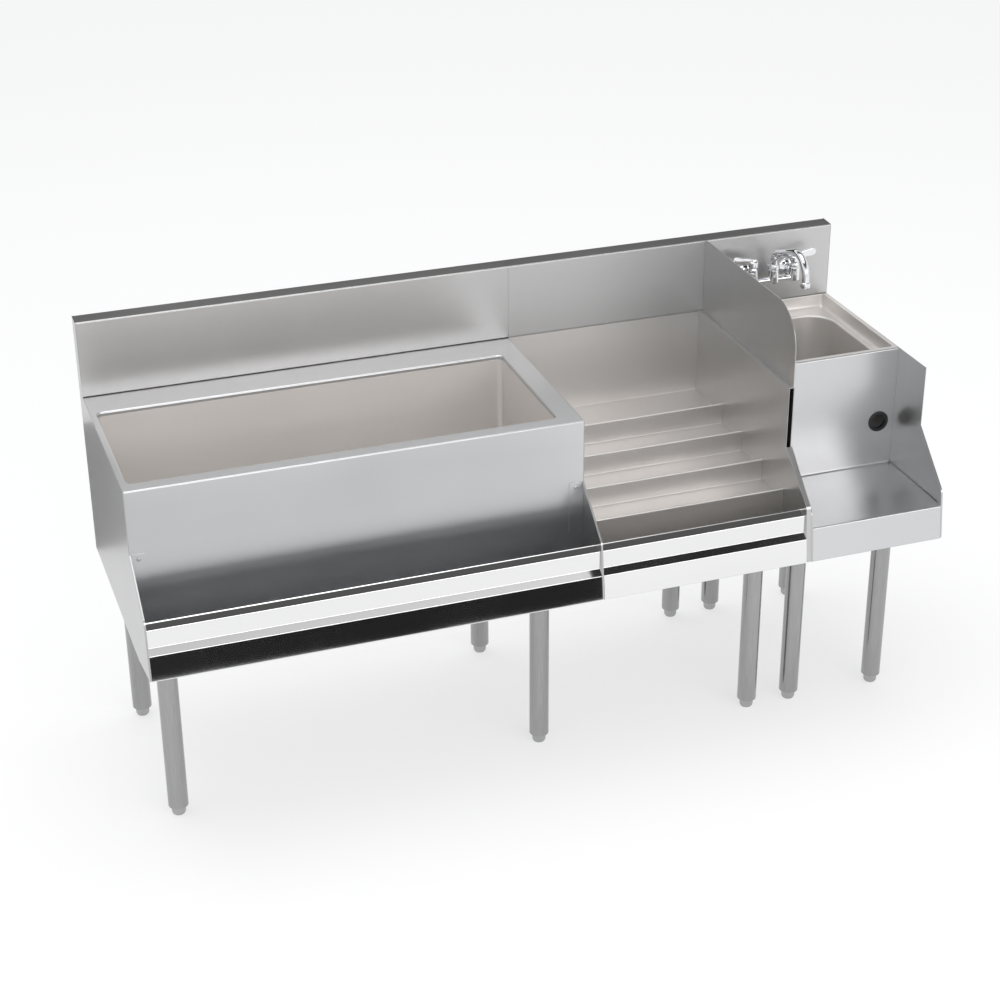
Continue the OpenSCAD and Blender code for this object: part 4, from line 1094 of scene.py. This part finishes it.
# %% [markdown]
# The spout is a bent tube. A circle is pushed up, spun through the first bend, pushed
# along the rising run, spun through the long end bend and pushed down to the outlet.

# %% Spout
SPOUT_R = 8 * MM
BEND_H = COLUMN_TOP + 19 * MM
BEND_R = 24 * MM
END_R = 42 * MM
REACH = 151 * MM
RISE = math.radians(20)
OUTLET = 18 * MM
SPIGOT_LOW = FAUCET_Z + 3 * MM
run_from = BEND_R * (1 - math.sin(RISE))
run_to = REACH - END_R * (1 + math.sin(RISE))
RUN = (run_to - run_from) / math.cos(RISE)


def spout_tube():
    shape = bmesh.new()
    start = Matrix.Translation((FAUCET_X, FAUCET_Y, SPIGOT_LOW))
    edge = circle(shape, SPOUT_R, start, 32, filled=True)
    edge = carry(shape, edge, (0, 0, BEND_H - SPIGOT_LOW))
    centre = Vector((FAUCET_X, FAUCET_Y - BEND_R, BEND_H))
    edge = swing(shape, edge, centre, math.pi / 2 - RISE, 10)
    edge = carry(shape, edge, (0, -RUN * math.cos(RISE), RUN * math.sin(RISE)))
    run_z = BEND_H + BEND_R * math.cos(RISE) + RUN * math.sin(RISE)
    centre = Vector((FAUCET_X, FAUCET_Y - REACH + END_R, run_z - END_R * math.cos(RISE)))
    edge = swing(shape, edge, centre, math.pi / 2 + RISE, 16)
    carry(shape, edge, (0, 0, -OUTLET))
    return shape


def swing(shape, edge, centre, angle, steps):
    points = list(dict.fromkeys(v for e in edge for v in e.verts))
    made = bmesh.ops.spin(shape, geom=points + edge, cent=centre, axis=(1, 0, 0), angle=angle,
                          steps=steps)
    return [item for item in made["geom_last"] if isinstance(item, bmesh.types.BMEdge)]


add_piece("spout_tube", spout_tube(), CHROME, ["spout"], "spout", smooth=40)

NUT_R = 13 * MM
NUT_H = 8 * MM
nut_low = COLUMN_TOP
nut_place = Matrix.Translation((FAUCET_X, FAUCET_Y, nut_low + NUT_H / 2))
nut_shape = bmesh.new()
bmesh.ops.create_cone(nut_shape, cap_ends=True, segments=6, radius1=NUT_R, radius2=NUT_R,
                      depth=NUT_H, matrix=nut_place)
collar_profile = [(0, nut_low + 7 * MM), (10 * MM, nut_low + 7 * MM), (10 * MM, nut_low + 8.6 * MM),
                  (9.4 * MM, nut_low + 10 * MM), (8.4 * MM, nut_low + 11 * MM),
                  (0, nut_low + 11 * MM)]
add_piece("spout_nut_turned",
          joined([nut_shape, turned(collar_profile, (FAUCET_X, FAUCET_Y, 0))]),
          CHROME, ["spout_nut"], edge=0.5 * MM)

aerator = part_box("aerator")
AERATOR = (aerator[0] + aerator[1]) / 2
low_z = aerator[0].z
outlet_profile = [
    (7 * MM, low_z + 2 * MM), (7 * MM, low_z), (8.6 * MM, low_z), (9.6 * MM, low_z + MM),
    (10.6 * MM, low_z + 3 * MM), (10.6 * MM, low_z + 11 * MM), (10 * MM, low_z + 12.4 * MM),
    (9 * MM, low_z + 13.6 * MM), (8 * MM, low_z + 14 * MM), (8 * MM, low_z + 2 * MM),
]
add_piece("outlet", turned(outlet_profile, (AERATOR.x, AERATOR.y, 0), closed=True), CHROME,
          ["aerator"], "spout", smooth=35)

# %% [markdown]
# Ten legs carry the body: a tube in a socket above, a bullet foot below. Each foot rides
# its own body, because it screws in and out to level the station.

# %% Legs and feet
LEG_R = 20.65 * MM
LEG_WALL = 1.6 * MM
FOOT_R = 14.5 * MM
FOOT_H = 21 * MM
STEM = 7.9 * MM
SOCKET_R = LEG_R + 3.3 * MM
SOCKET_H = 45 * MM
PLATE = 4 * MM
LEG_TOP = UNDER - PLATE
feet = [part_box("foot_%d" % i) for i in range(1, 11)]
leg_places = [((low + high) / 2) for low, high in feet]


def leg_tube(place):
    inner = LEG_R - LEG_WALL
    profile = [
        (inner, FOOT_H), (LEG_R - 0.8 * MM, FOOT_H), (LEG_R - 0.2 * MM, FOOT_H + 0.3 * MM),
        (LEG_R, FOOT_H + 0.9 * MM), (LEG_R, LEG_TOP), (inner, LEG_TOP),
    ]
    return turned(profile, (place.x, place.y, 0), closed=True)


for name, group in (("legs_bin", leg_places[:4]), ("legs_display", leg_places[4:6]),
                    ("legs_sink", leg_places[6:])):
    add_piece(name + "_tubes", joined([leg_tube(place) for place in group]), LEG,
              [name])


def socket(place):
    inner = LEG_R + SEAM
    low = UNDER - SOCKET_H
    profile = [
        (inner, low), (SOCKET_R - 0.8 * MM, low), (SOCKET_R, low + 0.8 * MM),
        (SOCKET_R, UNDER - PLATE), (SOCKET_R + MM, UNDER - PLATE + 0.3 * MM),
        (SOCKET_R + 2 * MM, UNDER - PLATE + 1.2 * MM), (SOCKET_R + 2 * MM, UNDER), (0, UNDER),
        (0, UNDER - PLATE), (inner, UNDER - PLATE),
    ]
    return turned(profile, (place.x, place.y, 0), closed=True)


add_piece("socket_cups", joined([socket(place) for place in leg_places]), FITTING,
          ["leg_sockets"])

for number, place in enumerate(leg_places, 1):
    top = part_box("foot_%d" % number)[1].z
    shoulder = FOOT_H - SEAM
    foot_profile = [
        (0, 0), (FOOT_R - 5 * MM, 0), (FOOT_R - 3 * MM, 0.5 * MM), (FOOT_R - 1.4 * MM, 2.4 * MM),
        (FOOT_R - 0.4 * MM, 5 * MM), (FOOT_R, 8 * MM), (FOOT_R, FOOT_H - 3 * MM),
        (FOOT_R - 0.6 * MM, FOOT_H - 1.4 * MM), (FOOT_R - 2 * MM, shoulder), (STEM, shoulder),
        (STEM, top - MM), (STEM - MM, top), (0, top),
    ]
    add_piece("foot_%d_bullet" % number, turned(foot_profile, (place.x, place.y, 0)), FOOT,
              ["foot_%d" % number], "levelling_foot_%d" % number)

# %% [markdown]
# Small fittings: the sink's drain flange, the brackets that hang the bin rail and their
# screws with a round socket.

# %% Drain flange, brackets and screws
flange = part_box("sink_drain_flange")
top_z = flange[1].z
rim_r = (flange[1].x - flange[0].x) / 2
drain_profile = [
    (rim_r, top_z - 2 * MM), (rim_r - MM, top_z - 0.8 * MM), (rim_r - 3 * MM, top_z - 0.2 * MM),
    (rim_r - 6 * MM, top_z), (41 * MM, top_z), (39.6 * MM, top_z - 0.6 * MM),
    (38 * MM, top_z - 5 * MM), (35 * MM, top_z - 8 * MM), (35 * MM, top_z - 34 * MM),
    (20.61 * MM, top_z - 34 * MM), (20.61 * MM, flange[0].z), (23.55 * MM, flange[0].z),
    (23.55 * MM, top_z - 36 * MM), (38 * MM, top_z - 36 * MM), (38 * MM, top_z - 20 * MM),
    (43 * MM, top_z - 16 * MM), (43 * MM, top_z - 2 * MM),
]
drain_place = (SINK_DRAIN.x, SINK_DRAIN.y, 0)
add_piece("drain_flange", turned(drain_profile, drain_place, steps=64, closed=True), DRAIN,
          ["sink_drain_flange"], smooth=35)

BRACKET = 28 * MM
BRACKET_CORNER = 4 * MM
SCREW_DROP = 11 * MM
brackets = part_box("rail_brackets")
bracket_xs = (brackets[0].x, brackets[1].x - BRACKET)


def bracket(x0):
    shape = bmesh.new()
    points = [shape.verts.new((x, Y_BODY, z)) for x, z in (
        (x0, RAIL_BACK), (x0 + BRACKET, RAIL_BACK), (x0 + BRACKET, KNEE), (x0, KNEE))]
    shape.faces.new(points)
    bmesh.ops.bevel(shape, geom=points[2:], offset=BRACKET_CORNER, segments=5, profile=0.5,
                    affect="VERTICES", material=-1)
    moved = new_verts(bmesh.ops.extrude_face_region(shape, geom=shape.faces[:]))
    bmesh.ops.translate(shape, verts=moved, vec=(0, -SHEET, 0))
    return shape


add_piece("bracket_plates", joined([bracket(x) for x in bracket_xs]), PANEL,
          ["rail_brackets"], edge=0.3 * MM)

screw_profile = [
    (0, 0), (4.2 * MM, 0), (4.2 * MM, 0.8 * MM), (3.8 * MM, 1.6 * MM), (3 * MM, 2.1 * MM),
    (2 * MM, 2.2 * MM), (1.8 * MM, 2.1 * MM), (1.7 * MM, MM), (0, MM),
]
screws = [turned(screw_profile, (x + BRACKET / 2, Y_BODY - SHEET, KNEE - SCREW_DROP), "-Y", 32)
          for x in bracket_xs]
add_piece("screw_heads", joined(screws), FITTING, ["rail_screws"])

# %% [markdown]
# The pieces that stay as CAD are inner sheets, nuts, pipes and inserts. Their meshes are
# loose triangles, so they are welded, and their edges are split where they are sharp.

# %% Finish the CAD pieces that stay
STAYING = {
    "bin_insulation": FOAM, "bin_bottom_panel": HIDDEN, "sink_back_panel": HIDDEN,
    "leg_channels": HIDDEN, "display_back": TREAD, "bin_drain_fitting": BRASS,
    "bin_drain_locknut": BRASS, "sink_drain_locknut": BRASS, "faucet_shank_nuts": BRASS,
    "bin_strainer_plate": DRAIN, "sink_tailpiece": DRAIN, "basket_strainer": DRAIN,
    "leg_inserts": FITTING,
}
SHARP = math.radians(30)
for name, finish in STAYING.items():
    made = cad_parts[name]
    made.data.materials.clear()
    made.data.materials.append(finish)
    weld = made.modifiers.new("weld", "WELD")
    weld.merge_threshold = WELD
    split = made.modifiers.new("edges", "EDGE_SPLIT")
    split.split_angle = SHARP
    made.data.shade_smooth()
print("CAD pieces that stay:", len(STAYING))
